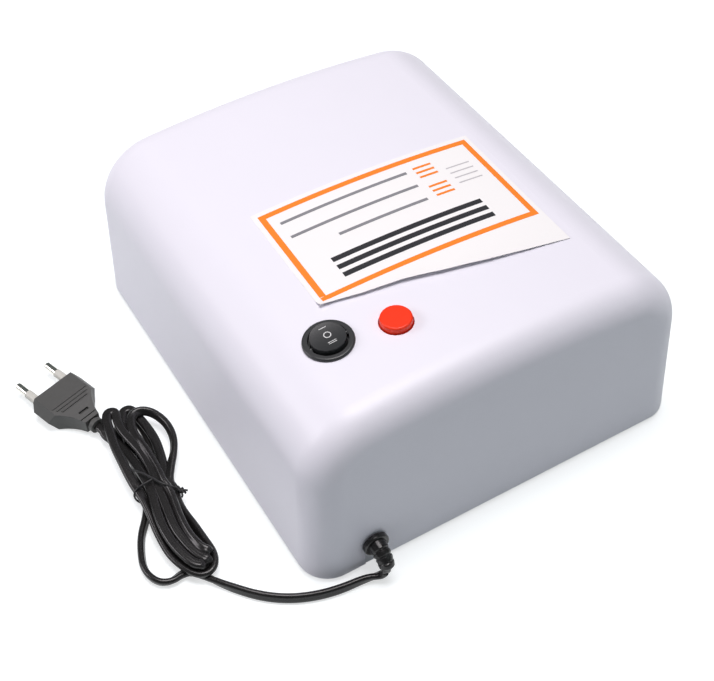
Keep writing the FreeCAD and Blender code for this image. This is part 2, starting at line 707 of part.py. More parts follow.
def make_lamps():
    radius = S["tube_diameter"] / 2
    bore = radius - S["tube_glass"]
    half_gap = S["leg_spacing"] / 2
    reach, base = S["lamp_reach"], S["lamp_base_length"]
    straight = reach - base - radius - half_gap
    nose = S["lamp_nose_length"]
    pins, clips = [], []
    for number, (x, z, turned) in enumerate(LAMP_PLACES, start=1):

        def bent_tube(name, tube_radius, extra):
            legs = [rod(f"{name}_leg_{side}", tube_radius, straight + extra,
                        (sign * half_gap, -base - straight, as_size(0)), "y")
                    for side, sign in enumerate((-1, 1))]
            bend = doc.addObject("Part::Torus", f"{name}_bend")
            bind(bend, "Radius1", half_gap)
            bind(bend, "Radius2", tube_radius)
            bend.Angle3 = 180
            put(bend, (as_size(0), -base - straight, as_size(0)), Rotation(Z_AXIS, 180))
            return fuse(name, bend, *legs)

        glass = cut(f"glass_{number}", bent_tube(f"glass_outside_{number}", radius, as_size(0)),
                    bent_tube(f"glass_inside_{number}", bore, as_size(0)))
        node(f"lamp_tube_{number}", as_lamp(glass, x, z, turned))

        shell = block(f"base_block_{number}", (S["lamp_base_width"], base, S["lamp_base_thickness"]),
                      (-S["lamp_base_width"] / 2, -base, -S["lamp_base_thickness"] / 2))
        shell = rounded(f"base_soft_{number}", shell, 3.0, lambda edge: runs_along(edge, Y_AXIS))
        key = block(f"base_nose_{number}", (S["lamp_nose_width"], nose, S["lamp_nose_thickness"]),
                    (-S["lamp_nose_width"] / 2, as_size(0), -S["lamp_nose_thickness"] / 2))
        node(f"lamp_base_{number}", as_lamp(fuse(f"base_{number}", shell, key), x, z, turned))

        for side, sign in enumerate((-1, 1)):
            pin = rod(f"lamp_pin_{number}_{side}", S["lamp_pin_diameter"] / 2, S["lamp_pin_length"],
                      (sign * S["lamp_pin_spacing"] / 2, nose, as_size(0)), "y")
            pins.append(as_lamp(group(f"pin_in_lamp_{number}_{side}", [pin]), x, z, turned))

        gap = S["fit_gap"]
        start = S["bulkhead_y"] + S["bulkhead_thickness"] - LAMP_BACK
        rim = S["socket_rim"] + gap
        wide, tall = S["lamp_nose_width"] + rim * 2, S["lamp_nose_thickness"] + rim * 2
        body = block(f"socket_block_{number}", (wide, S["socket_depth"], tall),
                     (-wide / 2, start, -tall / 2))
        room = (S["lamp_nose_width"] + gap * 2, nose + gap, S["lamp_nose_thickness"] + gap * 2)
        recess = block(f"socket_recess_{number}", room, (-room[0] / 2, as_size(0), -room[2] / 2))
        bores = [rod(f"socket_bore_{number}_{side}", S["lamp_pin_diameter"] / 2 + gap,
                     S["lamp_pin_length"] + gap * 2,
                     (sign * S["lamp_pin_spacing"] / 2, nose, as_size(0)), "y")
                 for side, sign in enumerate((-1, 1))]
        socket = cut(f"socket_{number}", body, recess, *bores)
        node(f"lamp_socket_{number}", as_lamp(socket, x, z, turned))

        clips.append(make_clip(number, x, z, turned))
    node("lamp_pins", group("all_lamp_pins", pins))
    node("lamp_clips", group("all_lamp_clips", clips))


def make_clip(number, x, z, turned):
    """A spring clip that hugs the two legs of a lamp and stands off the hood on a web."""
    radius = S["tube_diameter"] / 2 + S["fit_gap"]
    sheet_metal = S["clip_sheet"]
    half_gap = S["leg_spacing"] / 2
    length = S["clip_width"]
    front = -S["lamp_reach"] + S["clip_setback"]

    def stadium(name, around, extra):
        long = length + extra * 2
        ends = [rod(f"{name}_{side}", around, long, (sign * half_gap, front - extra, as_size(0)), "y")
                for side, sign in enumerate((-1, 1))]
        middle = block(f"{name}_middle", (S["leg_spacing"], long, around * 2),
                       (-half_gap, front - extra, -around))
        return fuse(name, middle, *ends)

    outside = stadium(f"clip_outside_{number}", radius + sheet_metal, as_size(0))
    inside = stadium(f"clip_inside_{number}", radius, as_size(1))
    mouth = block(f"clip_mouth_{number}", (S["leg_spacing"] * 1.25, length + 2, radius * 2),
                  (-S["leg_spacing"] * 0.625, front - 1, -radius * 2 - 2))
    band = cut(f"clip_band_{number}", outside, inside, mouth)
    if turned:
        stand = S["hood_width"] / 2 - S["hood_sheet"] - S["side_lamp_x"] - radius - sheet_metal
    else:
        stand = S["hood_top"] - S["hood_sheet"] - S["top_lamp_z"] - radius - sheet_metal
    web = block(f"clip_web_{number}", (5.0, length, stand + sheet_metal / 2),
                (as_size(-2.5), front, radius + sheet_metal / 2))
    clip = fuse(f"clip_{number}", band, web)
    if not turned:
        return as_lamp(clip, x, z, False)
    quarter = Rotation(Y_AXIS, 90 if float(x) > 0 else -90)
    return put(clip, (x, LAMP_BACK, z), quarter)


def make_board():
    left, front = S["board_left"], S["board_front"]
    level = PLATE_TOP + S["board_height"]
    top = level + S["board_thickness"]

    def is_above_board(edge):
        return edge.CenterOfMass.z > float(top) + 0.5

    panel = block("board_panel", (S["board_length"], S["board_depth"], S["board_thickness"]),
                  (left, front, level))
    holes = [rod(f"board_hole_{index}", HOLE_RADIUS, MARGIN, (x, y, level - MARGIN / 2))
             for index, (x, y) in enumerate(BOARD_SCREW_PLACES)]
    node("circuit_board", cut("drilled_board", panel, *holes))
    node("board_screws", group("standoff_screws", [
        screw(f"board_screw_{index}", S["board_thickness"] + S["board_height"] - 2.0, (x, y, top), False)
        for index, (x, y) in enumerate(BOARD_SCREW_PLACES)]))

    chokes, films, transistors, resistors = [], [], [], []
    first_column = left + 16
    case_row, film_row, last_row = front + 24, front + 31, front + 38
    case_radius = 2.4
    for index in range(4):
        x = first_column + index * 23
        y = front + 13
        bobbin = centred_block(f"bobbin_{index}", (15.0, 12.0, 2.0), (x, y, top))
        core = centred_block(f"core_{index}", (16.0, 5.0, 13.5), (x, y, top + 1.6))
        coil = rod(f"coil_{index}", 5.6, 9.0, (x, y, top + 3.6))
        chokes.append(fuse(f"choke_{index}", bobbin, core, coil))
        film = centred_block(f"film_{index}", (11.0, 5.0, 9.0), (x, film_row, top))
        films.append(rounded(f"film_soft_{index}", film, 1.0, is_above_board))
        for side, sign in enumerate((-1, 1)):
            case_x = x + sign * 5.0
            case = rod(f"case_{index}_{side}", case_radius, 4.8, (case_x, case_row, top + 1.5))
            flat = centred_block(f"case_flat_{index}_{side}", (6.0, 3.0, 6.0),
                                 (case_x, case_row - case_radius - 0.5, top + 1))
            legs = centred_block(f"legs_{index}_{side}", (3.4, 0.6, 1.8), (case_x, case_row + 0.4, top))
            transistors.append(fuse(f"transistor_{index}_{side}",
                                    cut(f"case_cut_{index}_{side}", case, flat), legs))
    for index in range(6):
        x = first_column + index * 8
        barrel = rod(f"resistor_barrel_{index}", 1.1, 6.0, (x - 3.0, last_row, top + 1.3), "x")
        leads = [centred_block(f"resistor_lead_{index}_{side}", (0.7, 0.7, 1.7),
                               (x + sign * 3.2, last_row, top)) for side, sign in enumerate((-1, 1))]
        resistors.append(fuse(f"resistor_{index}", barrel, *leads))
    node("ballast_chokes", group("chokes", chokes))
    node("film_capacitors", group("films", films))
    node("transistors", group("all_transistors", transistors))
    node("resistors", group("all_resistors", resistors))

    cans = []
    for index in range(2):
        can = rod(f"can_{index}", 4.8, 15.0, (left + 101, front + 9 + index * 12, top))
        cans.append(rounded(f"can_soft_{index}", can, 0.8, lambda edge: is_above_board(edge)
                            and edge.Curve.TypeId == "Part::GeomCircle"))
    node("electrolytic_capacitors", group("cans", cans))
    relay = centred_block("relay_block", (17.0, 12.0, 14.0), (left + 116.5, front + 21, top))
    node("relay", rounded("relay_case", relay, 0.8, is_above_board))
    chip_x = left + 72
    chip = centred_block("chip_block", (9.6, 6.4, 3.2), (chip_x, last_row, top + 0.6))
    rows = [centred_block(f"chip_legs_{side}", (8.6, 0.8, 2.4), (chip_x, last_row + sign * 3.5, top))
            for side, sign in enumerate((-1, 1))]
    node("timer_chip", fuse("chip_with_legs", chip, *rows))
    fuse_x, fuse_y = left + 80, last_row
    node("mains_fuse", rod("fuse_tube", 2.6, 20.0, (fuse_x, fuse_y, top + 4.0), "x"))
    clips = []
    for index, offset in enumerate((1.0, 15.0)):
        holder = centred_block(f"fuse_clip_block_{index}", (4.0, 7.0, 5.4),
                               (fuse_x + offset + 2, fuse_y, top))
        seat = rod(f"fuse_clip_seat_{index}", 2.7, 6.0, (fuse_x + offset - 1, fuse_y, top + 4.0), "x")
        clips.append(cut(f"fuse_clip_{index}", holder, seat))
    node("fuse_clips", group("both_fuse_clips", clips))
    strip_x, strip_y = left + 110, front + 37
    strip = centred_block("terminal_strip", (14.0, 8.0, 9.0), (strip_x, strip_y, top))
    wells = [rod(f"terminal_well_{index}", 1.7, 4.0, (strip_x + offset, strip_y, top + 6.5))
             for index, offset in enumerate((-4.6, 0.0, 4.6))]
    node("terminal_block", cut("terminal_body", strip, *wells))


VENT_COLUMNS = 15
BOARD_MIDDLE_Y = S["board_front"] + S["board_depth"] / 2
BOARD_SCREW_PLACES = [(S["board_left"] + x, S["board_front"] + y)
                      for x in (as_size(4), S["board_length"] - 4)
                      for y in (as_size(4), S["board_depth"] - 4)]
BULKHEAD_SCREW_PLACES = [(x, S["bulkhead_y"] + S["bulkhead_thickness"] + S["bulkhead_foot"] / 2)
                         for x in both_sides(S["hood_width"] / 2 - 32)]
FOOT_PLACES = [(x, y) for x in both_sides(S["casing_width"] / 2 - S["foot_inset_x"])
               for y in both_sides(HALF_DEPTH - S["foot_inset_y"])]
LAMP_BACK = S["bulkhead_y"] - S["mirror_thickness"] - S["fit_gap"]
LAMP_PLACES = [(-S["top_lamp_x"], S["top_lamp_z"], False), (S["top_lamp_x"], S["top_lamp_z"], False),
               (-S["side_lamp_x"], S["side_lamp_z"], True), (S["side_lamp_x"], S["side_lamp_z"], True)]


def make_switch():
    gap = S["fit_gap"]
    bezel, barrel = S["bezel_diameter"] / 2, S["barrel_diameter"] / 2
    turner = S["rocker_diameter"] / 2
    cup = turner + gap
    seat = 0.12
    rim = rod("bezel_ring", bezel, S["bezel_height"], (0, 0, seat))
    rim = rounded("bezel_soft", rim, 1.0, lambda edge: edge.CenterOfMass.z > 1
                  and edge.Curve.TypeId == "Part::GeomCircle")
    can = rod("switch_barrel", barrel, S["barrel_depth"] + seat, (0, 0, -S["barrel_depth"]))
    lugs = [centred_block(f"switch_lug_{side}", (5.0, 1.4, 5.0),
                          (0, sign * (barrel + 0.5), -S["casing_wall"] - gap - 5.0))
            for side, sign in enumerate((-1, 1))]
    hollow = ball("rocker_cup", cup, (0, 0, 0))
    ring_floor, pivot_radius = -1.2, 1.0
    ring = rod("rocker_ring", turner + S["rocker_gap"], S["bezel_height"] + 2, (0, 0, ring_floor))
    ears = [centred_block(f"pivot_ear_{side}", (2.0, 3.6, pivot_radius + 0.1 - ring_floor),
                          (sign * (turner + 0.45 + 1.0), 0, ring_floor))
            for side, sign in enumerate((-1, 1))]
    opening = cut("rocker_opening", ring, *ears)
    pivot_hole = rod("pivot_hole", pivot_radius + gap, barrel * 2 - 0.6, (0.3 - barrel, 0, 0), "x")
    body = cut("switch_form", fuse("switch_blank", rim, can, *lugs), hollow, opening, pivot_hole)
    place = (S["switch_x"], S["switch_y"])
    node("switch_body", on_crown(body, *place))

    dish_radius = (turner * turner + S["rocker_dish"] * S["rocker_dish"]) / (S["rocker_dish"] * 2)
    slab = centred_block("rocker_slab", (turner * 3, turner * 3, 4.5), (0, 0, -4.5))
    bowl = common("rocker_bowl", ball("rocker_ball", turner, (0, 0, 0)), slab)
    disc = rod("rocker_disc", turner, S["rocker_rise"], (0, 0, 0))
    disc = rounded("rocker_soft", disc, 0.4, lambda edge: edge.CenterOfMass.z > 1
                   and edge.Curve.TypeId == "Part::GeomCircle")
    round_part = fuse("rocker_round", bowl, disc)
    dish = rod("rocker_hollow", dish_radius, turner * 2 + 2,
               (-turner - 1, 0, S["rocker_rise"] - S["rocker_dish"] + dish_radius), "x")
    nub = rod("rocker_nub", 1.5, 3.2, (0, 0, -7.2))
    pivots = rod("rocker_pivots", pivot_radius, barrel * 2 - 1.2, (0.6 - barrel, 0, 0), "x")
    rocker = fuse("rocker_form", cut("rocker_top", round_part, dish), nub, pivots)
    node("switch_rocker", on_crown(rocker, *place))

    blades = [centred_block(f"terminal_{index}", (4.8, 0.8, 8.0), (0, y, -S["barrel_depth"] - 8.0))
              for index, y in enumerate((-6.0, 0.0, 6.0))]
    node("switch_terminals", on_crown(group("all_terminals", blades), *place))


def make_button():
    gap = S["fit_gap"]
    radius = S["button_diameter"] / 2
    under = -S["casing_wall"]
    flange_top = under - gap
    flange_thick, stem_radius, leg_radius, board_thick = 1.2, 2.0, 2.6, 1.2
    flange_bottom = flange_top - flange_thick
    flange = radius + S["button_gap"] + 1.0
    cap = rod("cap_plug", radius, S["button_rise"] - flange_bottom, (0, 0, flange_bottom))
    cap = rounded("cap_soft", cap, S["button_round"], lambda edge: edge.CenterOfMass.z > 1
                  and edge.Curve.TypeId == "Part::GeomCircle")
    spring_room = S["button_travel"] + S["spring_wire"] * (SPRING_TURNS + 2)
    floor_top = flange_bottom - spring_room
    stem_end = floor_top - S["guide_wall"] - 1.0
    collar = rod("cap_flange", flange, flange_thick, (0, 0, flange_bottom))
    stem = rod("cap_stem", stem_radius, flange_bottom - stem_end, (0, 0, stem_end))
    place = (S["button_x"], S["button_y"])
    node("button_cap", on_crown(fuse("cap_form", cap, collar, stem), *place))

    inner = flange + gap
    outer = inner + S["guide_wall"]
    guide_top = under - 0.1
    guide_bottom = floor_top - S["guide_wall"]
    tact_top = stem_end - S["button_travel"] - gap
    case_height, knob_height = 3.5, 0.8
    board_top = tact_top - case_height - knob_height
    leg = guide_bottom - board_top
    leg_x = outer - leg_radius - 0.2
    tube = rod("guide_tube", outer, guide_top - guide_bottom, (0, 0, guide_bottom))
    room = rod("guide_room", inner, S["casing_depth"], (0, 0, floor_top))
    way = rod("stem_way", stem_radius + gap, S["guide_wall"] * 3, (0, 0, guide_bottom - S["guide_wall"]))
    legs = [rod(f"guide_leg_{side}", leg_radius, leg, (sign * leg_x, 0, board_top))
            for side, sign in enumerate((-1, 1))]
    leg_holes = [rod(f"guide_leg_hole_{side}", HOLE_RADIUS, leg - 0.5, (sign * leg_x, 0, board_top))
                 for side, sign in enumerate((-1, 1))]
    node("button_guide", on_crown(cut("guide_form", fuse("guide_blank", tube, *legs), room, way,
                                      *leg_holes), *place))

    board_under = board_top - board_thick
    small_board = centred_block("small_board", (outer * 2 + 2, 13.0, board_thick), (0, 0, board_under))
    board_holes = [rod(f"small_board_hole_{side}", HOLE_RADIUS, 4.0, (sign * leg_x, 0, board_under - 1.3))
                   for side, sign in enumerate((-1, 1))]
    node("button_board", on_crown(cut("small_board_form", small_board, *board_holes), *place))
    case = centred_block("tact_case", (6.0, 6.0, case_height), (0, 0, board_top))
    knob = rod("tact_knob", 1.7, knob_height, (0, 0, board_top + case_height))
    node("tact_switch", on_crown(fuse("tact_form", case, knob), *place))
    node("button_board_screws", on_crown(group("guide_screws", [
        screw(f"guide_screw_{side}", leg + board_thick - 1.0, (sign * leg_x, as_size(0), board_under), True)
        for side, sign in enumerate((-1, 1))]), *place))

    node("button_spring", on_crown(group("spring_in_place", [
        coil_spring("spring_coils", floor_top, flange_bottom)]), *place))


def coil_spring(name, bottom, top):
    """A round wire spring about the Z axis that fills the height between two levels."""
    wire = float(S["spring_wire"])
    coil = float(S["spring_diameter"]) / 2 - wire / 2
    clearance = 0.02
    low = float(bottom) + wire / 2 + clearance
    rise = float(top - bottom) - wire - clearance * 2
    climb = rise / SPRING_TURNS / (2 * math.pi * coil)
    places = []
    for quarter in range(SPRING_TURNS * 4 + 1):
        angle = quarter * math.pi / 2
        outward = Vector(math.cos(angle), math.sin(angle), 0)
        level = low + rise * quarter / (SPRING_TURNS * 4)
        heading = Vector(-math.sin(angle), math.cos(angle), climb).normalize()
        places.append((outward * coil + Z_AXIS * level, heading))
    edges = []
    for (here, way), (there, next_way) in zip(places, places[1:]):
        edges += biarc(here, way, there, next_way)
    return shaped(name, tube_along(edges, *places[0], wire / 2))


def make_label():
    """The paper lies on the arched top, a thin shell of the crown between two cylinders."""
    lift = 0.05
    crown = S["crown_radius"]
    outside = rod("label_outside", crown + lift + S["label_thickness"], S["casing_depth"], (0, 0, 0), "y")
    inside = rod("label_inside", crown + lift, S["casing_depth"] + 2, (0, 0, 0), "y")
    for cylinder, back in ((outside, HALF_DEPTH), (inside, HALF_DEPTH + 1)):
        put(cylinder, (as_size(0), -back, RIM + S["casing_height"] - crown), AXIS_TURNS["y"])
    half_length, half_width = S["label_length"] / 2, S["label_width"] / 2
    plan = new_body("label_plan")
    outline = new_sketch(plan, "label_outline", "XY_Plane")
    draw_outline(outline, [(half_length, -half_width), (half_length, half_width),
                           (-half_length, half_width + S["label_flare"]), (-half_length, -half_width)])
    pad(plan, outline, as_size(40.0), "label_pad", both_ways=True)
    cutter = put(group("label_cutter", [plan]),
                 (S["label_x"], S["label_y"], RIM + S["casing_height"]),
                 Rotation(Z_AXIS, float(S["label_turn"])))
    node("label_sticker", common("label_form", cut("label_shell", outside, inside), cutter))


def circle_wire(centre, direction, radius):
    return Part.Wire([Part.makeCircle(radius, centre, direction)])


def tube_along(edges, start, direction, radius):
    """A solid round tube along joined edges."""
    return Part.Wire(edges).makePipeShell([circle_wire(start, direction, radius)], True, False)


def bent_path(points, share, name):
    """Straight runs joined by tangent arcs, each as large as its two runs allow."""
    points = [Vector(*point) for point in points]
    edges, radii = [], []
    last = points[0]
    for before, corner, after in zip(points, points[1:], points[2:]):
        into, out = corner - before, after - corner
        half_turn = into.getAngle(out) / 2
        shorter = min(into.Length, out.Length)
        setback = share * shorter
        radii.append(setback / math.tan(half_turn))
        into.normalize()
        out.normalize()
        start, end = corner - into * setback, corner + out * setback
        inward = (out - into).normalize()
        middle = corner + inward * (radii[-1] / math.cos(half_turn) - radii[-1])
        edges.append(Part.makeLine(last, start))
        edges.append(Part.Arc(start, middle, end).toShape())
        last = end
    edges.append(Part.makeLine(last, points[-1]))
    if name:
        print(f"{name}: bend radii", ", ".join(f"{radius:.1f}" for radius in radii))
    return edges


def lead(name, points, diameter, show=False):
    """A wire or cord through hand chosen points, as a finished solid."""
    edges = bent_path(points, 0.45, name if show else "")
    start = Vector(*points[0])
    direction = Vector(*points[1]) - start
    solid = tube_along(edges, start, direction, diameter / 2)
    length = sum(edge.Length for edge in edges)
    expected = math.pi * diameter ** 2 / 4 * length
    if show:
        print(f"{name}: length {length:.1f}, volume {solid.Volume:.0f}, section times length {expected:.0f}")
    return solid


def shaped(name, shape):
    thing = doc.addObject("Part::Feature", name)
    thing.Shape = shape
    return thing


def biarc(start, heading, end, final):
    """Two arcs that leave start along heading and reach end along final."""
    span = end - start
    both = heading + final
    square = 2 * (heading.dot(final) - 1)
    if abs(square) < 1e-9:
        reach = span.dot(span) / (2 * span.dot(both))
    else:
        linear = -2 * span.dot(both)
        reach = (-linear - math.sqrt(linear ** 2 - 4 * square * span.dot(span))) / (2 * square)
    joint = (start + heading * reach + end - final * reach) * 0.5
    return [arc_from(start, heading, joint), arc_from(end, final * -1, joint, backwards=True)]


def arc_from(start, heading, end, backwards=False):
    """The arc that leaves start along heading and ends at end."""
    chord = end - start
    along = Vector(chord).normalize()
    across = heading - along * heading.dot(along)
    if across.Length < 1e-4:
        return Part.makeLine(end, start) if backwards else Part.makeLine(start, end)
    across.normalize()
    half_turn = heading.getAngle(along)
    middle = (start + end) * 0.5 + across * (chord.Length / 2 * math.tan(half_turn / 2))
    if backwards:
        return Part.Arc(end, middle, start).toShape()
    return Part.Arc(start, middle, end).toShape()


def relief_point(turn):
    """Point and heading of the strain relief's middle line after a downward turn in degrees."""
    start = Vector(float(S["cord_x"]), float(HALF_DEPTH + S["collar_thickness"] + 0.1), float(S["cord_z"]))
    radius, angle = float(S["relief_bend"]), math.radians(turn)
    way = Vector(0, math.cos(angle), -math.sin(angle))
    return start + Vector(0, radius * math.sin(angle), radius * (math.cos(angle) - 1)), way


def make_cord_exit():
    neck = S["neck_diameter"] / 2
    lead_hole = S["cord_diameter"] / 2 + 0.15
    wall_face = HALF_DEPTH - S["end_draft"] * (S["cord_z"] - RIM)
    collar = rod("collar", S["collar_diameter"] / 2, S["collar_thickness"],
                 (S["cord_x"], HALF_DEPTH + 0.05, S["cord_z"]), "y")
    collar = rounded("collar_soft", collar, 0.8, lambda edge: edge.CenterOfMass.y > float(HALF_DEPTH) + 1
                     and edge.Curve.TypeId == "Part::GeomCircle")
    inner_face = wall_face - S["casing_wall"] - 0.8
    clamp_face = inner_face - 2.0
    body = rod("grommet_neck", neck, HALF_DEPTH + 0.5 - clamp_face,
               (S["cord_x"], clamp_face, S["cord_z"]), "y")
    clamp = rod("grommet_clamp", S["collar_diameter"] / 2, inner_face - clamp_face,
                (S["cord_x"], clamp_face, S["cord_z"]), "y")
    bore = rod("grommet_bore", lead_hole, MARGIN * 3,
               (S["cord_x"], HALF_DEPTH - MARGIN * 2, S["cord_z"]), "y")
    node("cord_grommet", cut("grommet_form", fuse("grommet_blank", collar, body, clamp), bore))

    stations = 23
    wide, slim = float(S["relief_diameter"]), float(S["relief_end_diameter"])
    rings = []
    for index in range(stations):
        share = index / (stations - 1)
        point = relief_point(RELIEF_TURN * share)[0]
        size = wide + (slim - wide) * share
        if index % 4 in (2, 3) and 0 < index < stations - 2:
            size -= 1.2
        ring = Part.makeCircle(size / 2)
        ring.Placement = Placement(point, Rotation(Vector(1, 0, 0), -90 - RELIEF_TURN * share))
        rings.append(Part.Wire([ring]))
    node("strain_relief", shaped("relief_form", Part.makeLoft(rings, True, True)))


def hank_path():
    """Middle line of the hank: four long loops in two layers, drawn in at the tie.

    Each place has a distance across and up the hank from the tie, a height, and a heading.
    The strands are numbered from the middle outwards, first the lower layer, then the upper one.
    """
    diameter = float(S["cord_diameter"])
    low = diameter / 2 + 0.1
    high = low + diameter + 0.6
    waist = (2.32, 7.1, 11.9)
    crest = (4.88, 9.7)
    crest_top = (52.8, 57.9)
    lower = (4.6, 9.3, 14.3)
    reversal = 4.33
    places = []

    def world(across, up, height):
        lean = HANK_SLANT * max(up, 0.0)
        return Vector(HANK_WAIST[0] + across - lean, HANK_WAIST[1] - up, height)

    def add(across, up, height, direction, climb=0.0):
        slanted = {"top": 1, "middle": 0.5}.get(direction[2], 0)
        level = Vector(direction[0] - HANK_SLANT * slanted * direction[1], -direction[1], 0).normalize()
        places.append((world(across, up, height), (level + Z_AXIS * climb).normalize()))

    def rise_side(strand, base):
        add(waist[strand], 0, base + WAIST_LIFT, (0, 1, "middle"))
        add(crest[strand], 48, base, (0, 1, "top"))

    def over_the_top(strand, base):
        rise_side(strand, base)
        add(0, crest_top[strand], base, (-1, 0, "top"))
        add(-crest[strand], 48, base, (0, -1, "top"))
        add(-waist[strand], 0, base + WAIST_LIFT, (0, -1, "middle"))

    # first long loop, lower layer
    over_the_top(1, low)
    add(-lower[1], -32, low + 0.9, (0, -1, "bottom"))
    add(-2.6, -46.8, low + 4.6, (1, 0, "bottom"))
    add(lower[0], -32, low + 0.65, (0, 1, "bottom"))
    # second loop inside it, ending in a tight climb to the upper layer
    over_the_top(0, low)
    add(-reversal, -32, low + 0.75, (0, -1, "bottom"))
    add(-3.05, -35.05, low + 1.15, (1, -1, "bottom"), 0.28)
    add(0, -36.6, low + 3.4, (1, 0, "bottom"), 0.65)
    add(3.05, -35.05, high + 1.0, (1, 1, "bottom"), 0.27)
    add(reversal, -32, high + 1.35, (0, 1, "bottom"))
    # third loop, on top of the second
    over_the_top(0, high)
    add(-lower[0], -32, high + 0.9, (0, -1, "bottom"))
    add(2.4, -46.8, high + 5.0, (1, 0, "bottom"))
    add(lower[1], -32, high + 0.9, (0, 1, "bottom"))
    # fourth loop, whose left side bows out
    rise_side(1, high)
    add(-0.5, 58.4, high, (-1, 0, "top"))
    add(-20.0, 31, high - 1.0, (0, -1, "top"))
    add(-waist[1], 0, high + WAIST_LIFT, (0, -1, "middle"))
    add(-lower[1], -32, high + 0.9, (0, -1, "bottom"))
    add(-8.7, -43, high + 4.15, (0.35, -0.93, "bottom"))
    add(2.4, -53.2, high + 5.4, (1, 0, "bottom"))
    add(lower[2], -32, high + 0.9, (0, 1, "bottom"))
    # last strand, on its way to the plug
    add(waist[2], 0, high + WAIST_LIFT, (0, 1, "middle"))
    add(14.0, 26, high + 0.4, (0, 1, "middle"))
    add(14.3, 46.6, high - 0.6, (0, 1, "bottom"))
    return places


def self_gap(points, diameter):
    """Least distance between stretches of the tube that aren't neighbours, less its diameter."""
    least = 1e9
    skip = int(diameter * 3 / HANK_STEP) + 1
    for index, point in enumerate(points):
        for other in points[index + skip:]:
            least = min(least, (point - other).Length)
    return least - diameter


def make_cord():
    diameter = float(S["cord_diameter"])
    exit_point, exit_way = relief_point(RELIEF_TURN)
    places = hank_path()
    start, start_way = places[0]
    route = [tuple(exit_point), tuple(exit_point + exit_way * diameter)] + CORD_ROUTE
    route += [tuple(start - start_way * diameter), tuple(start)]
    cord = lead("power_cord", route, diameter, show=True)
    node("power_cord", shaped("cord_form", cord))

    plug_turn = Rotation(Z_AXIS, PLUG_HEADING)
    plug_way = plug_turn.multVec(Y_AXIS * -1)
    plug_end = Vector(*PLUG_PLACE) - plug_way * float(S["plug_length"])
    places.append((plug_end - plug_way * diameter, plug_way))
    edges = [Part.makeLine(start, start + start_way * 0.5)]
    places[0] = (start + start_way * 0.5, start_way)
    for (here, way), (there, next_way) in zip(places, places[1:]):
        edges += biarc(here, way, there, next_way)
    edges.append(Part.makeLine(places[-1][0], plug_end))
    points = [point for edge in edges
              for point in edge.discretize(max(2, int(edge.Length / HANK_STEP)))[:-1]]
    tightest = min(edge.Curve.Radius for edge in edges if edge.Curve.TypeId == "Part::GeomCircle")
    hank = tube_along(edges, start, start_way, diameter / 2)
    length = sum(edge.Length for edge in edges)
    print(f"cord_hank: length {length:.1f}, tightest radius {tightest:.1f}, "
          f"least self gap {self_gap(points, diameter):.2f}, volume {hank.Volume:.0f}, "
          f"section times length {math.pi * diameter ** 2 / 4 * length:.0f}")
    node("cord_hank", shaped("hank_form", hank))

    half = float(S["tie_diameter"]) / 2
    x, y = HANK_WAIST
    left, right = x - 7.0 - diameter / 2 - 1.2, x + 11.7 + diameter / 2 + 1.2
    base = half + 0.05
    top = diameter * 2 + 0.7 + WAIST_LIFT + half + 0.5
    corner = 2.4
    loop = [(left, base), (right, base), (right, top), (left, top)]
    edges = []
    for index, (u, w) in enumerate(loop):
        before, after = loop[index - 1], loop[(index + 1) % 4]
        into = Vector(u - before[0], 0, w - before[1]).normalize()
        out = Vector(after[0] - u, 0, after[1] - w).normalize()
        here = Vector(u, y, w)
        start_arc, end_arc = here - into * corner, here + out * corner
        middle = here + (out - into) * (corner * (1 - math.sqrt(0.5)))
        if index == 0:
            first_arc = start_arc
        else:
            edges.append(Part.makeLine(last, start_arc))
        edges.append(Part.Arc(start_arc, middle, end_arc).toShape())
        last = end_arc
    edges.append(Part.makeLine(last, first_arc))
    way = edges[0].tangentAt(edges[0].FirstParameter)
    ring = Part.Wire(edges).makePipeShell([circle_wire(first_arc, way, half)], True, False)
    tail = lead("tie_tail", [(x + a, y + b, top + c) for a, b, c in TIE_TAIL], half * 2)
    node("twist_tie", fuse("tie_form", shaped("tie_ring", ring), shaped("tie_tail", tail)))


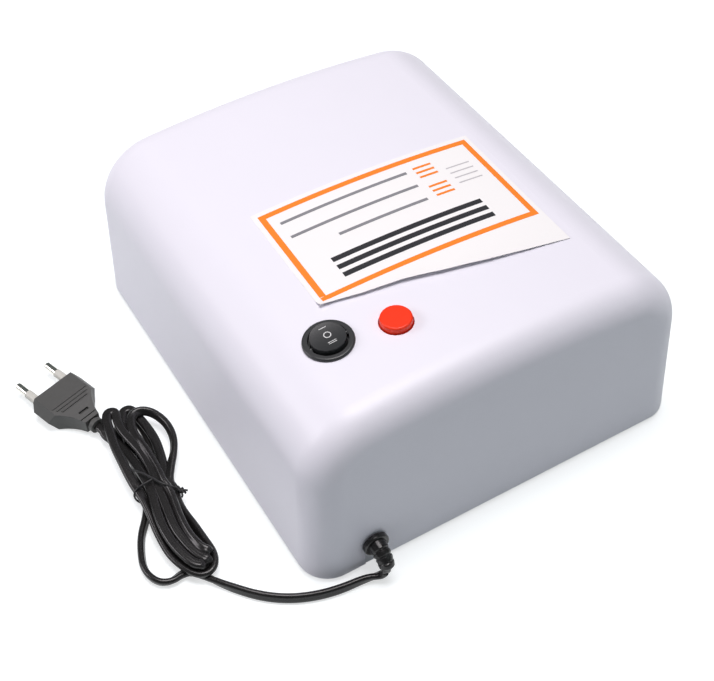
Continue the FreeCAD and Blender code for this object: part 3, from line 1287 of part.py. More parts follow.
def make_plug():
    """The plug is drawn with its face at the origin and its cord end towards +Y, then laid down."""
    thick = S["plug_thickness"]
    half, face = S["plug_width"] / 2, S["plug_face_width"] / 2
    neck = S["plug_neck_width"] / 2
    chamfer, shoulder, taper = S["plug_chamfer_depth"], S["plug_shoulder"], S["plug_taper_end"]
    zero = as_size(0)
    plan = new_body("plug_plan")
    outline = new_sketch(plan, "plug_outline", "XY_Plane")
    right = [(face, zero), (half, chamfer), (half, shoulder), (neck, taper)]
    draw_outline(outline, right + [(-x, y) for x, y in reversed(right)])
    pad(plan, outline, thick, "plug_plan_pad", both_ways=True)
    across, along = neck - half, taper - shoulder
    chord = square_root(across * across + along * along)
    radius = S["plug_flank_radius"]
    way_out = square_root(radius * radius - chord * chord / 4) / chord
    scoops = [rod(f"plug_scoop_{side}", radius, thick * 2,
                  (sign * ((half + neck) / 2 + along * way_out), (shoulder + taper) / 2 - across * way_out, -thick))
              for side, sign in enumerate((-1, 1))]
    front = new_body("plug_front")
    section = new_sketch(front, "plug_section", "XZ_Plane")
    rim, top_half = (half, zero), S["plug_top_width"] / 2
    draw_outline(section, [rim, (top_half, thick / 2), (-top_half, thick / 2),
                           (-half, zero), (-top_half, -thick / 2), (top_half, -thick / 2)])
    pad(front, section, S["plug_length"] * 2, "plug_front_pad", both_ways=True)
    side = new_body("plug_side")
    profile = new_sketch(side, "plug_profile", "YZ_Plane")
    upper = [(zero, thick / 2), (shoulder, thick / 2), (taper, thick * 0.32)]
    draw_outline(profile, upper + [(y, -z) for y, z in reversed(upper)])
    pad(side, profile, S["plug_width"] + 2, "plug_side_pad", both_ways=True)
    form = cut("plug_form", common("plug_blank", plan, side, front), *scoops)
    collar = rod("plug_collar", S["plug_collar_diameter"] / 2, S["plug_length"] - taper - 1.2,
                 (zero, taper + 1.2, zero), "y")
    throat = rod("plug_throat", S["plug_collar_diameter"] / 2 - 1.2, S["plug_length"] - taper,
                 (zero, taper, zero), "y")
    ribs = [centred_block(f"plug_rib_{index}", (width, 0.9, 0.9), (0, shoulder + back, thick / 2 - sunk))
            for index, (width, back, sunk) in enumerate(((21.0, -0.6, 0.5), (19.0, 1.5, 0.7), (16.0, 3.6, 0.9)))]
    slot = centred_block("plug_slot", (5.6, 1.5, 2.0), (0, taper - 6.0, thick * 0.36 - 0.8))
    groove = centred_block("plug_groove", (S["plug_width"], 0.6, 2.0), (0, taper - 2.4, thick * 0.34 - 0.5))
    pin_places = both_sides(S["pin_spacing"] / 2)
    bores = [rod(f"pin_bore_{index}", S["pin_diameter"] / 2, 8.0, (x, zero, zero), "y")
             for index, x in enumerate(pin_places)]
    laid = Rotation(Z_AXIS, PLUG_HEADING)

    def lay(thing):
        thing.Placement = Placement(Vector(*PLUG_PLACE), laid)
        return thing

    whole = fuse("plug_whole", form, throat, collar, *ribs)
    node("plug_body", lay(cut("plug_finished", whole, slot, groove, *bores)))
    pins, sleeves = [], []
    for index, x in enumerate(pin_places):
        shaft = rod(f"pin_shaft_{index}", S["pin_diameter"] / 2, S["pin_length"] + 8.0,
                    (x, -S["pin_length"], zero), "y")
        pins.append(rounded(f"pin_{index}", shaft, 1.2, lambda edge: edge.CenterOfMass.y < -5
                            and edge.Curve.TypeId == "Part::GeomCircle"))
        ring = rod(f"sleeve_ring_{index}", S["sleeve_diameter"] / 2, S["sleeve_length"],
                   (x, -S["sleeve_length"], zero), "y")
        bore = rod(f"sleeve_bore_{index}", S["pin_diameter"] / 2, S["sleeve_length"] + 2,
                   (x, -S["sleeve_length"] - 1, zero), "y")
        sleeves.append(cut(f"sleeve_{index}", ring, bore))
    node("plug_pins", lay(group("both_pins", pins)))
    node("pin_sleeves", lay(group("both_sleeves", sleeves)))


def make_wires():
    """Inner wires, each through hand chosen points in its own space."""
    wires = []
    for index, points in enumerate(WIRE_ROUTES):
        route = [(x, float(HALF_DEPTH) - inwards, z) for x, inwards, z in points]
        wires.append(shaped(f"wire_{index}", lead(f"wire_{index}", route, 1.8)))
    node("wiring", group("all_wires", wires))


SPRING_TURNS = 4
RELIEF_TURN = 74
HANK_STEP = 1.0
HANK_WAIST = (141.5, 36.0)
HANK_SLANT = 0.19
WAIST_LIFT = 1.4
TIE_TAIL = [(-7.2, 0.0, 0.0), (-7.6, 3.2, 0.9), (-8.4, 6.4, 0.9), (-11.1, 12.1, 0.5)]
PLUG_PLACE = (158.6, -48.3, 6.0)
PLUG_HEADING = 18
CORD_ROUTE = [
    (72.9, 128.5, 2.9), (81.0, 124.9, 2.1), (89.0, 122.8, 2.1), (99.5, 120.3, 2.1), (110.0, 116.0, 2.1),
    (119.5, 109.6, 2.1), (127.5, 101.6, 2.1), (134.0, 93.0, 2.1), (140.5, 85.2, 2.1), (148.2, 80.8, 2.1),
    (155.2, 78.9, 2.1), (160.3, 73.8, 2.1), (162.2, 66.8, 2.1), (160.8, 59.5, 2.1), (156.6, 53.2, 2.3),
    (151.6, 47.4, 2.7),
]
# Each point is x, the way inwards from the rear wall, and z
WIRE_ROUTES = [
    # mains, from the grommet to the terminal block
    [(69.6, 6.5, 16.1), (68.4, 11.5, 17.4), (54.0, 16.5, 24.5), (40.0, 19.5, 30.0), (34.6, 20.5, 28.0),
     (34.6, 20.5, 21.1)],
    [(71.9, 6.5, 16.1), (70.6, 12.5, 19.8), (58.0, 19.5, 29.5), (40.0, 22.0, 36.0), (30.0, 20.5, 33.0),
     (30.0, 20.5, 21.1)],
    # rocker switch to the board
    [(59.1, 58.2, 70.3), (58.2, 58.2, 60.0), (50.0, 55.5, 42.0), (35.0, 51.0, 31.0), (30.0, 49.5, 24.0),
     (30.0, 49.5, 14.6)],
    [(59.1, 52.2, 70.3), (58.1, 52.2, 59.0), (51.0, 51.0, 38.0), (38.0, 49.0, 28.0), (34.5, 48.0, 23.0),
     (34.5, 48.0, 14.6)],
    [(59.1, 46.2, 70.3), (58.0, 46.2, 58.0), (54.0, 46.0, 36.0), (43.0, 45.5, 25.0), (38.6, 45.5, 21.0),
     (38.6, 45.5, 14.6)],
    # timer button to the board
    [(25.0, 41.0, 75.1), (24.6, 40.5, 66.0), (12.0, 33.5, 48.0), (-3.0, 28.0, 30.0), (-6.5, 26.5, 23.0),
     (-6.5, 26.5, 14.6)],
    # lamp sockets to the board
    [(-31.0, 60.0, 72.0), (-31.0, 53.5, 72.0), (-34.0, 50.5, 54.0), (-40.0, 52.0, 34.0), (-40.5, 54.7, 24.0),
     (-40.5, 54.7, 14.6)],
    [(31.0, 60.0, 72.0), (31.0, 54.5, 72.0), (26.0, 53.0, 52.0), (12.0, 53.5, 34.0), (6.0, 54.7, 24.0),
     (6.0, 54.7, 14.6)],
    [(-77.0, 60.0, 37.0), (-77.0, 54.5, 37.0), (-73.0, 51.5, 29.0), (-65.0, 54.7, 24.0), (-65.0, 54.7, 14.6)],
    [(77.0, 60.0, 37.0), (77.0, 54.5, 37.0), (60.0, 55.2, 25.5), (36.0, 55.7, 21.5), (12.5, 55.5, 20.5),
     (12.5, 55.5, 14.6)],
]


def check_and_save():
    doc.recompute()
    for thing in doc.Objects:
        if "Invalid" in thing.State or "Error" in thing.State:
            raise RuntimeError(f"{thing.Label} failed: {thing.State}")
    for thing in nodes:
        if thing.Shape.isNull() or not thing.Shape.isValid():
            raise RuntimeError(f"{thing.Label} has no valid shape")
    os.makedirs("parts", exist_ok=True)
    for thing in nodes:
        thing.Shape.exportStep(f"parts/{thing.Label}.step")
        box = thing.Shape.BoundBox
        print(f"{thing.Label}: {len(thing.Shape.Solids)} solids, {thing.Shape.Volume / 1000:.2f} cm3, "
              f"x {box.XMin:.1f} {box.XMax:.1f} y {box.YMin:.1f} {box.YMax:.1f} "
              f"z {box.ZMin:.1f} {box.ZMax:.1f}")


make_casing()
make_base_plate()
make_tray()
make_chamber()
make_lamps()
make_board()
make_wires()
make_switch()
make_button()
make_label()
make_cord_exit()
make_cord()
make_plug()
check_and_save()
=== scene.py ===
import json
import math

import bmesh
import bpy
from mathutils import Matrix, Vector


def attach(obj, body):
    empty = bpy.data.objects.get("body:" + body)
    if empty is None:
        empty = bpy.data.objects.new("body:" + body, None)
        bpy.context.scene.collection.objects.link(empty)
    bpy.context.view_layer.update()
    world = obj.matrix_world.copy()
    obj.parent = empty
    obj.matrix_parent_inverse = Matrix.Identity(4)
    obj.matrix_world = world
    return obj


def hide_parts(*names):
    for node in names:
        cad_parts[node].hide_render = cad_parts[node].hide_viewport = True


# Looks of the stamp exposure unit. Sizes are in metres unless a name says mm.

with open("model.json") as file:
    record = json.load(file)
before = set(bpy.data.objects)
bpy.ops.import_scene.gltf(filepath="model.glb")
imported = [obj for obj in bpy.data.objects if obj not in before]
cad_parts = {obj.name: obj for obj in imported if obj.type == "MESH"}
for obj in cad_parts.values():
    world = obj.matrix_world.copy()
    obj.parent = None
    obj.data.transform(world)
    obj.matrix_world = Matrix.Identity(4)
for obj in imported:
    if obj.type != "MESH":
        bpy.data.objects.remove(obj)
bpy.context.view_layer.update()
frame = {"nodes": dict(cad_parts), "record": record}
scene = bpy.context.scene
scene.view_settings.view_transform = "Standard"
nodes = frame["nodes"]
MM = 0.001


def mm(*values):
    """A point given in millimetres."""
    return Vector([value * MM for value in values])


# Shared shapes of the casing, as in the frame
CROWN_RADIUS = 700.0
CROWN_TOP = 96.0
SWITCH_PLACE = (61.1, 65.3)
LABEL_PLACE = (-5.6, 13.5)
LABEL_TURN = -0.84
LABEL_HALF_LENGTH = 59.75
LABEL_FAR_EDGE = -34.75


def crown_level(x):
    """Height in millimetres of the arched top at a given x."""
    return CROWN_TOP - CROWN_RADIUS + math.sqrt(CROWN_RADIUS ** 2 - x ** 2)


def on_crown(x, y):
    """The frame of something that sits square on the arched top, in metres."""
    lean = Matrix.Rotation(math.asin(x / CROWN_RADIUS), 4, "Y")
    return Matrix.Translation(mm(x, y, crown_level(x))) @ lean


# Camera

def make_camera():
    azimuth, elevation, roll = (math.radians(angle) for angle in (150.937, 47.223, -1.903))
    target = mm(32.36, 38.5, 52.9)
    distance = 601.5 * MM
    focal_pixels, frame_width, sensor = 1286.3, 714, 36.0
    back = Vector((math.sin(azimuth) * math.cos(elevation), -math.cos(azimuth) * math.cos(elevation),
                   math.sin(elevation)))
    level_right = (-back).cross(Vector((0, 0, 1))).normalized()
    level_up = level_right.cross(-back)
    right = level_right * math.cos(roll) + level_up * math.sin(roll)
    up = level_up * math.cos(roll) - level_right * math.sin(roll)
    data = bpy.data.cameras.new("photo_camera")
    data.sensor_width = sensor
    data.lens = focal_pixels * sensor / frame_width
    data.clip_start, data.clip_end = 0.01, 20.0
    camera = bpy.data.objects.new("photo_camera", data)
    camera.matrix_world = Matrix.Translation(target + back * distance) @ Matrix(
        (right, up, back)).transposed().to_4x4()
    scene.collection.objects.link(camera)
    scene.camera = camera


# Stage: floor, world and lamps

def plain_material(name):
    material = bpy.data.materials.new(name)
    material.use_nodes = True
    tree = material.node_tree
    tree.nodes.clear()
    return material, tree


def make_floor():
    size = 3.0
    mesh = bpy.data.meshes.new("floor")
    mesh.from_pydata([(-size, -size, 0), (size, -size, 0), (size, size, 0), (-size, size, 0)], [],
                     [(0, 1, 2, 3)])
    floor = bpy.data.objects.new("floor", mesh)
    scene.collection.objects.link(floor)
    material, tree = plain_material("floor_paper")
    output = tree.nodes.new("ShaderNodeOutputMaterial")
    both = tree.nodes.new("ShaderNodeAddShader")
    diffuse = tree.nodes.new("ShaderNodeBsdfDiffuse")
    diffuse.inputs["Color"].default_value = FLOOR_COLOUR
    glow = tree.nodes.new("ShaderNodeEmission")
    path = tree.nodes.new("ShaderNodeLightPath")
    strength = tree.nodes.new("ShaderNodeMath")
    strength.operation = "MULTIPLY"
    strength.inputs[1].default_value = FLOOR_GLOW
    glow.inputs["Color"].default_value = (1, 1, 1, 1)
    seen = tree.nodes.new("ShaderNodeMath")
    seen.operation = "MAXIMUM"
    tree.links.new(path.outputs["Is Camera Ray"], seen.inputs[0])
    tree.links.new(path.outputs["Is Glossy Ray"], seen.inputs[1])
    tree.links.new(seen.outputs[0], strength.inputs[0])
    tree.links.new(strength.outputs[0], glow.inputs["Strength"])
    tree.links.new(diffuse.outputs[0], both.inputs[0])
    tree.links.new(glow.outputs[0], both.inputs[1])
    tree.links.new(both.outputs[0], output.inputs["Surface"])
    mesh.materials.append(material)


def make_world():
    world = bpy.data.worlds.new("studio")
    world.use_nodes = True
    scene.world = world
    tree = world.node_tree
    tree.nodes.clear()
    output = tree.nodes.new("ShaderNodeOutputWorld")
    mix = tree.nodes.new("ShaderNodeMixShader")
    light = tree.nodes.new("ShaderNodeBackground")
    light.inputs["Color"].default_value = (0.84, 0.98, 1.0, 1)
    light.inputs["Strength"].default_value = WORLD_LIGHT
    seen = tree.nodes.new("ShaderNodeBackground")
    seen.inputs["Color"].default_value = (1, 1, 1, 1)
    seen.inputs["Strength"].default_value = 1.0
    path = tree.nodes.new("ShaderNodeLightPath")
    either = tree.nodes.new("ShaderNodeMath")
    either.operation = "MAXIMUM"
    tree.links.new(path.outputs["Is Camera Ray"], either.inputs[0])
    tree.links.new(path.outputs["Is Transmission Ray"], either.inputs[1])
    tree.links.new(either.outputs[0], mix.inputs["Fac"])
    tree.links.new(light.outputs[0], mix.inputs[1])
    tree.links.new(seen.outputs[0], mix.inputs[2])
    tree.links.new(mix.outputs[0], output.inputs["Surface"])


def area_lamp(name, place, aim, size, power, colour=(1, 1, 1)):
    data = bpy.data.lights.new(name, "AREA")
    data.shape = "RECTANGLE"
    data.size, data.size_y = size
    data.energy = power
    data.color = colour
    lamp = bpy.data.objects.new(name, data)
    lamp.location = place
    lamp.rotation_mode = "QUATERNION"
    lamp.rotation_quaternion = (Vector(aim) - Vector(place)).to_track_quat("-Z", "Y")
    scene.collection.objects.link(lamp)


FLOOR_COLOUR = (0.58, 0.62, 0.63, 1)
FLOOR_GLOW = 0.62
WORLD_LIGHT = 0.12


def make_lights():
    middle = (0, 0, 0.05)
    area_lamp("overhead_softbox", (-0.05, -0.06, 1.5), middle, (0.9, 0.7), 18.6, (1.0, 0.955, 0.97))
    area_lamp("switch_side_softbox", (1.25, -0.6, 0.75), middle, (0.7, 0.5), 7.4, (1.0, 0.95, 0.99))
    area_lamp("rear_fill", (-0.9, 1.2, 0.9), middle, (0.9, 0.6), 1.2, (0.82, 0.99, 1.0))


# Materials

def ramp_between(tree, factor, low, high):
    """A colour between two, led by a texture's value."""
    mix = tree.nodes.new("ShaderNodeMix")
    mix.data_type = "RGBA"
    mix.inputs[6].default_value = (*low, 1)
    mix.inputs[7].default_value = (*high, 1)
    tree.links.new(factor, mix.inputs[0])
    return mix.outputs[2]


def noise(tree, scale, detail=4.0, roughness=0.55, stretch=None):
    """A noise texture in the object's own coordinates, scale in cells per metre."""
    where = tree.nodes.new("ShaderNodeTexCoord")
    texture = tree.nodes.new("ShaderNodeTexNoise")
    texture.inputs["Scale"].default_value = scale
    texture.inputs["Detail"].default_value = detail
    texture.inputs["Roughness"].default_value = roughness
    source = where.outputs["Object"]
    if stretch:
        mapping = tree.nodes.new("ShaderNodeMapping")
        mapping.inputs["Scale"].default_value = stretch
        tree.links.new(source, mapping.inputs["Vector"])
        source = mapping.outputs["Vector"]
    tree.links.new(source, texture.inputs["Vector"])
    return texture.outputs["Fac"]


def value_range(tree, factor, low, high):
    spread = tree.nodes.new("ShaderNodeMapRange")
    spread.inputs["From Min"].default_value = 0.3
    spread.inputs["From Max"].default_value = 0.7
    spread.inputs["To Min"].default_value = low
    spread.inputs["To Max"].default_value = high
    tree.links.new(factor, spread.inputs["Value"])
    return spread.outputs["Result"]


def surface(name, colour, roughness, metallic=0.0, mottle=0.04, mottle_scale=60.0, grain=900.0,
            bump=0.03, bump_depth=0.0001, stretch=None, coat=0.0, specular=0.5, extra=None):
    """A finished material: a faint mottle in the colour, a drifting gloss and a fine surface grain."""
    material, tree = plain_material(name)
    output = tree.nodes.new("ShaderNodeOutputMaterial")
    shader = tree.nodes.new("ShaderNodeBsdfPrincipled")
    tree.links.new(shader.outputs[0], output.inputs["Surface"])
    shader.inputs["Metallic"].default_value = metallic
    shader.inputs["Specular IOR Level"].default_value = specular
    shader.inputs["Coat Weight"].default_value = coat
    broad = noise(tree, mottle_scale, stretch=stretch)
    low = [max(0.0, channel * (1 - mottle)) for channel in colour]
    high = [min(1.0, channel * (1 + mottle)) for channel in colour]
    tree.links.new(ramp_between(tree, broad, low, high), shader.inputs["Base Color"])
    fine = noise(tree, grain, detail=3.0, stretch=stretch)
    spread = value_range(tree, fine, roughness * 0.9, min(1.0, roughness * 1.1))
    tree.links.new(spread, shader.inputs["Roughness"])
    if bump:
        relief = tree.nodes.new("ShaderNodeBump")
        relief.inputs["Strength"].default_value = bump
        relief.inputs["Distance"].default_value = bump_depth
        tree.links.new(fine, relief.inputs["Height"])
        tree.links.new(relief.outputs[0], shader.inputs["Normal"])
    if extra:
        extra(tree, shader)
    return material


def glass(name, tint, roughness=0.02, milk=0.0):
    """Clear or milky glass with a faint streak in its thickness."""
    material, tree = plain_material(name)
    output = tree.nodes.new("ShaderNodeOutputMaterial")
    shader = tree.nodes.new("ShaderNodeBsdfPrincipled")
    tree.links.new(shader.outputs[0], output.inputs["Surface"])
    shader.inputs["Transmission Weight"].default_value = 1.0 - milk
    shader.inputs["IOR"].default_value = 1.47
    streak = noise(tree, 25.0, detail=2.0)
    low = [channel * 0.97 for channel in tint]
    tree.links.new(ramp_between(tree, streak, low, tint), shader.inputs["Base Color"])
    tree.links.new(value_range(tree, streak, roughness, roughness * 1.5), shader.inputs["Roughness"])
    return material


def coloured_bodies(name, colours, roughness=0.35):
    """A plastic whose colour changes from one loose solid of a node to the next."""
    material, tree = plain_material(name)
    output = tree.nodes.new("ShaderNodeOutputMaterial")
    shader = tree.nodes.new("ShaderNodeBsdfPrincipled")
    tree.links.new(shader.outputs[0], output.inputs["Surface"])
    info = tree.nodes.new("ShaderNodeNewGeometry")
    ramp = tree.nodes.new("ShaderNodeValToRGB")
    ramp.color_ramp.interpolation = "CONSTANT"
    while len(ramp.color_ramp.elements) < len(colours):
        ramp.color_ramp.elements.new(1.0)
    for index, colour in enumerate(colours):
        element = ramp.color_ramp.elements[index]
        element.position = index / len(colours)
        element.color = (*colour, 1)
    tree.links.new(info.outputs["Random Per Island"], ramp.inputs["Fac"])
    tree.links.new(ramp.outputs["Color"], shader.inputs["Base Color"])
    fine = noise(tree, 1500.0)
    tree.links.new(value_range(tree, fine, roughness * 0.9, roughness * 1.1), shader.inputs["Roughness"])
    return material


def make_materials():
    kinds = {
        "casing_plastic": surface("casing_plastic", (0.865, 0.845, 0.925), 0.42, mottle=0.008, grain=2600,
                                  bump=0.05),
        "base_plastic": surface("base_plastic", (0.76, 0.75, 0.80), 0.55, mottle=0.02, grain=2200, bump=0.1),
        "tray_plastic": surface("tray_plastic", (0.84, 0.82, 0.88), 0.42, mottle=0.01, grain=2400, bump=0.05),
        "foot_rubber": surface("foot_rubber", (0.02, 0.02, 0.02), 0.75, mottle=0.2, grain=3000, bump=0.3),
        "screw_steel": surface("screw_steel", (0.62, 0.61, 0.58), 0.32, metallic=1.0, mottle=0.06, bump=0.08),
        "reflector_metal": surface("reflector_metal", (0.86, 0.87, 0.88), 0.16, metallic=1.0, mottle=0.02,
                                   stretch=(1, 12, 1), grain=700, bump=0.06),
        "bulkhead_plastic": surface("bulkhead_plastic", (0.72, 0.72, 0.74), 0.5, mottle=0.02, grain=2200),
        "lamp_base_plastic": surface("lamp_base_plastic", (0.82, 0.81, 0.77), 0.45, mottle=0.03, grain=2400),
        "socket_plastic": surface("socket_plastic", (0.02, 0.02, 0.022), 0.5, mottle=0.2, grain=2400),
        "pin_brass": surface("pin_brass", (0.72, 0.55, 0.25), 0.25, metallic=1.0, mottle=0.06),
        "clip_steel": surface("clip_steel", (0.66, 0.67, 0.68), 0.28, metallic=1.0, mottle=0.05),
        "board_laminate": surface("board_laminate", (0.10, 0.17, 0.06), 0.4, mottle=0.25, mottle_scale=700,
                                  grain=2500, bump=0.15),
        "choke_ferrite": surface("choke_ferrite", (0.045, 0.04, 0.04), 0.5, mottle=0.3, grain=2600, bump=0.3),
        "film_plastic": surface("film_plastic", (0.30, 0.035, 0.02), 0.3, mottle=0.15, coat=0.3),
        "transistor_plastic": surface("transistor_plastic", (0.015, 0.015, 0.015), 0.5, mottle=0.3),
        "resistor_enamel": surface("resistor_enamel", (0.30, 0.43, 0.50), 0.3, mottle=0.1),
        "can_sleeve": surface("can_sleeve", (0.015, 0.02, 0.05), 0.3, mottle=0.2, coat=0.4),
        "relay_plastic": surface("relay_plastic", (0.02, 0.08, 0.28), 0.3, mottle=0.1),
        "chip_plastic": surface("chip_plastic", (0.02, 0.02, 0.022), 0.5, mottle=0.2),
        "terminal_plastic": surface("terminal_plastic", (0.02, 0.14, 0.05), 0.35, mottle=0.1),
        "wire_insulation": coloured_bodies("wire_insulation", [(0.55, 0.02, 0.02), (0.02, 0.02, 0.02),
                                                               (0.02, 0.06, 0.42), (0.65, 0.45, 0.02),
                                                               (0.75, 0.75, 0.75)]),
        "switch_plastic": surface("switch_plastic", (0.032, 0.033, 0.035), 0.34, mottle=0.12, grain=3200,
                                  bump=0.08),
        "rocker_plastic": surface("rocker_plastic", (0.028, 0.029, 0.031), 0.36, mottle=0.12, grain=3200,
                                  bump=0.08),
        "terminal_metal": surface("terminal_metal", (0.72, 0.70, 0.62), 0.3, metallic=1.0, mottle=0.05),
        "button_plastic": surface("button_plastic", (0.97, 0.040, 0.007), 0.35, mottle=0.03, grain=2600,
                                  bump=0.04, specular=0.35),
        "guide_plastic": surface("guide_plastic", (0.62, 0.62, 0.64), 0.5, mottle=0.03),
        "tact_plastic": surface("tact_plastic", (0.02, 0.02, 0.02), 0.4, mottle=0.2),
        "spring_steel": surface("spring_steel", (0.66, 0.67, 0.68), 0.25, metallic=1.0, mottle=0.05),
        "cord_rubber": surface("cord_rubber", (0.014, 0.013, 0.013), 0.26, specular=0.45, mottle=0.25, mottle_scale=350,
                               grain=3200, bump=0.1),
        "tie_wire": surface("tie_wire", (0.012, 0.012, 0.013), 0.4, mottle=0.25, grain=3000, bump=0.1),
        "plug_rubber": surface("plug_rubber", (0.075, 0.075, 0.072), 0.55, mottle=0.1, mottle_scale=250,
                               grain=3200, bump=0.2),
        "plug_nickel": surface("plug_nickel", (0.78, 0.76, 0.70), 0.2, metallic=1.0, mottle=0.04),
        "sleeve_plastic": surface("sleeve_plastic", (0.62, 0.61, 0.56), 0.4, mottle=0.04),
        "label_paper": surface("label_paper", (0.92, 0.90, 0.90), 0.6, specular=0.2, mottle=0.01, grain=4000, bump=0.05),
        "orange_ink": surface("orange_ink", (0.94, 0.25, 0.03), 0.6, specular=0.15, mottle=0.04, mottle_scale=400,
                              grain=4000, bump=0.05),
        "black_ink": surface("black_ink", (0.035, 0.035, 0.04), 0.6, specular=0.15, mottle=0.15, grain=4000, bump=0.05),
        "grey_ink": surface("grey_ink", (0.25, 0.25, 0.27), 0.6, specular=0.15, mottle=0.1, grain=4000, bump=0.05),
        "faint_ink": surface("faint_ink", (0.55, 0.53, 0.55), 0.45, mottle=0.05, grain=4000, bump=0.05),
        "white_ink": surface("white_ink", (0.72, 0.72, 0.72), 0.45, mottle=0.04, grain=4000, bump=0.05),
        "lamp_glass": glass("lamp_glass", (0.90, 0.93, 0.98), 0.06, milk=0.72),
        "fuse_glass": glass("fuse_glass", (0.90, 0.92, 0.92)),
    }
    return kinds


def dress_nodes(kinds):
    """Every node of the frame takes the material of its slot in the record."""
    for entry in frame["record"]["subparts"]:
        thing = nodes[entry["node"]]
        thing.data.materials.clear()
        thing.data.materials.append(kinds[entry["material_slot"]])


# Mesh helpers

def new_piece(name, mesh, material_slot, body="housing", materials=None):
    """A finished piece that rides on a body and wears the material named by its slot, or the materials given."""
    piece = bpy.data.objects.new(name, mesh)
    scene.collection.objects.link(piece)
    for material in materials or [kinds[material_slot]]:
        mesh.materials.append(material)
    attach(piece, body)
    return piece


def smooth(mesh, angle=35.0):
    """Smooth shading that keeps edges sharper than the angle."""
    for polygon in mesh.polygons:
        polygon.use_smooth = True
    mesh.set_sharp_from_angle(angle=math.radians(angle))


def mesh_from(name, vertices, faces):
    mesh = bpy.data.meshes.new(name)
    mesh.from_pydata([tuple(vertex) for vertex in vertices], [], faces)
    mesh.validate()
    mesh.update()
    return mesh


def spline_curve(name, points, resolution=10):
    """A smooth open curve whose control points are the given route."""
    data = bpy.data.curves.new(name, "CURVE")
    data.dimensions = "3D"
    line = data.splines.new("NURBS")
    line.points.add(len(points) - 1)
    for target, point in zip(line.points, points):
        target.co = (*point, 1)
    line.order_u = 3
    line.use_endpoint_u = True
    line.resolution_u = resolution
    return data


def points_of(data):
    """The points of a curve without a bevel, as Blender makes them, in order along it."""
    holder = bpy.data.objects.new("route", data)
    scene.collection.objects.link(holder)
    bpy.context.view_layer.update()
    mesh = bpy.data.meshes.new_from_object(holder)
    found = [vertex.co.copy() for vertex in mesh.vertices]
    bpy.data.objects.remove(holder)
    bpy.data.meshes.remove(mesh)
    bpy.data.curves.remove(data)
    return found


def swept(name, points, profile, side_of, closed_ends=True):
    """A mesh tube: the profile's outline set across a line at each of its points."""
    vertices, faces = [], []
    count = len(profile)
    for index, point in enumerate(points):
        before = points[max(index - 1, 0)]
        after = points[min(index + 1, len(points) - 1)]
        along = (after - before).normalized()
        side = side_of(index, along)
        side = (side - along * side.dot(along)).normalized()
        rise = side.cross(along) * -1
        vertices += [point + side * across + rise * high for across, high in profile]
    for ring in range(len(points) - 1):
        for step in range(count):
            a, b = ring * count + step, ring * count + (step + 1) % count
            faces.append((a, b, b + count, a + count))
    if closed_ends:
        faces.append(tuple(reversed(range(count))))
        faces.append(tuple((len(points) - 1) * count + step for step in range(count)))
    return mesh_from(name, vertices, faces)


# Label: a paper sheet whose near edge lifts off the casing, with a plain printed frame and ruled lines

LABEL_NEAR_EDGE = [(-59.75, 53.0), (-53.5, 52.5), (-36.4, 51.1), (-16.1, 48.6), (3.2, 45.0), (21.5, 40.5),
                   (40.7, 37.8), (54.3, 34.6), (59.75, 34.2)]
LABEL_LIFT = [(-59.75, 0.2), (-36.4, 1.1), (-10.0, 2.0), (15.0, 2.1), (40.0, 1.6), (54.0, 1.3), (59.75, 2.2)]
FRAME_OUTER = (57.2, 32.1)
FRAME_BAND = 3.0


def between(table, x):
    """The value at x on straight lines through a table of pairs."""
    for (left, low), (right, high) in zip(table, table[1:]):
        if x <= right:
            return low + (high - low) * max(0.0, x - left) / (right - left)
    return table[-1][1]


def on_label(u, v, raised=0.0):
    """A point on the sheet, u along it towards the switch side, v towards the rear, in millimetres."""
    turn = math.radians(LABEL_TURN)
    x = LABEL_PLACE[0] + u * math.cos(turn) - v * math.sin(turn)
    y = LABEL_PLACE[1] + u * math.sin(turn) + v * math.cos(turn)
    reach = max(0.0, (v - 29.0) / (between(LABEL_NEAR_EDGE, u) - 29.0))
    lift = between(LABEL_LIFT, u) * min(1.0, reach) ** 1.6
    return mm(x, y, crown_level(x) + 0.18 + lift + raised)


def sheet_between(bottom_of, top_of, left, right, columns, rows, raised):
    """Vertices and faces of a patch on the label between two edges that depend on u."""
    vertices, faces = [], []
    for row in range(rows + 1):
        for column in range(columns + 1):
            u = left + (right - left) * column / columns
            low, high = bottom_of(u), top_of(u)
            vertices.append(on_label(u, low + (high - low) * row / rows, raised))
    for row in range(rows):
        for column in range(columns):
            corner = row * (columns + 1) + column
            faces.append((corner, corner + 1, corner + columns + 2, corner + columns + 1))
    return vertices, faces


def printed_patches():
    """Frame, ruled lines and blocks of the print, as u, v ranges with the index of their ink."""
    along, across = FRAME_OUTER
    band = FRAME_BAND
    patches = [(-along, along, -across, band - across, 1), (-along, along, across - band, across, 1),
               (-along, band - along, band - across, across - band, 1),
               (along - band, along, band - across, across - band, 1)]
    patches += [(-38.5, 41.5, 10.2, 13.2, 2), (-38.5, 41.5, 15.6, 18.6, 2), (-38.5, 41.5, 21.0, 24.0, 2)]
    patches += [(-17.0, 30.5, -2.2, -0.4, 3), (-18.0, 50.0, -12.6, -10.8, 3), (-18.0, 50.0, -23.2, -21.4, 3)]
    patches += [(-32.0, -22.0, v, v + 1.4, 1) for v in (-24.0, -20.5, -17.0, -9.0, -5.5, -2.0)]
    patches += [(-49.5, -36.5, v, v + 0.8, 4) for v in (-16.5, -12.5, -8.5, -4.5)]
    return patches


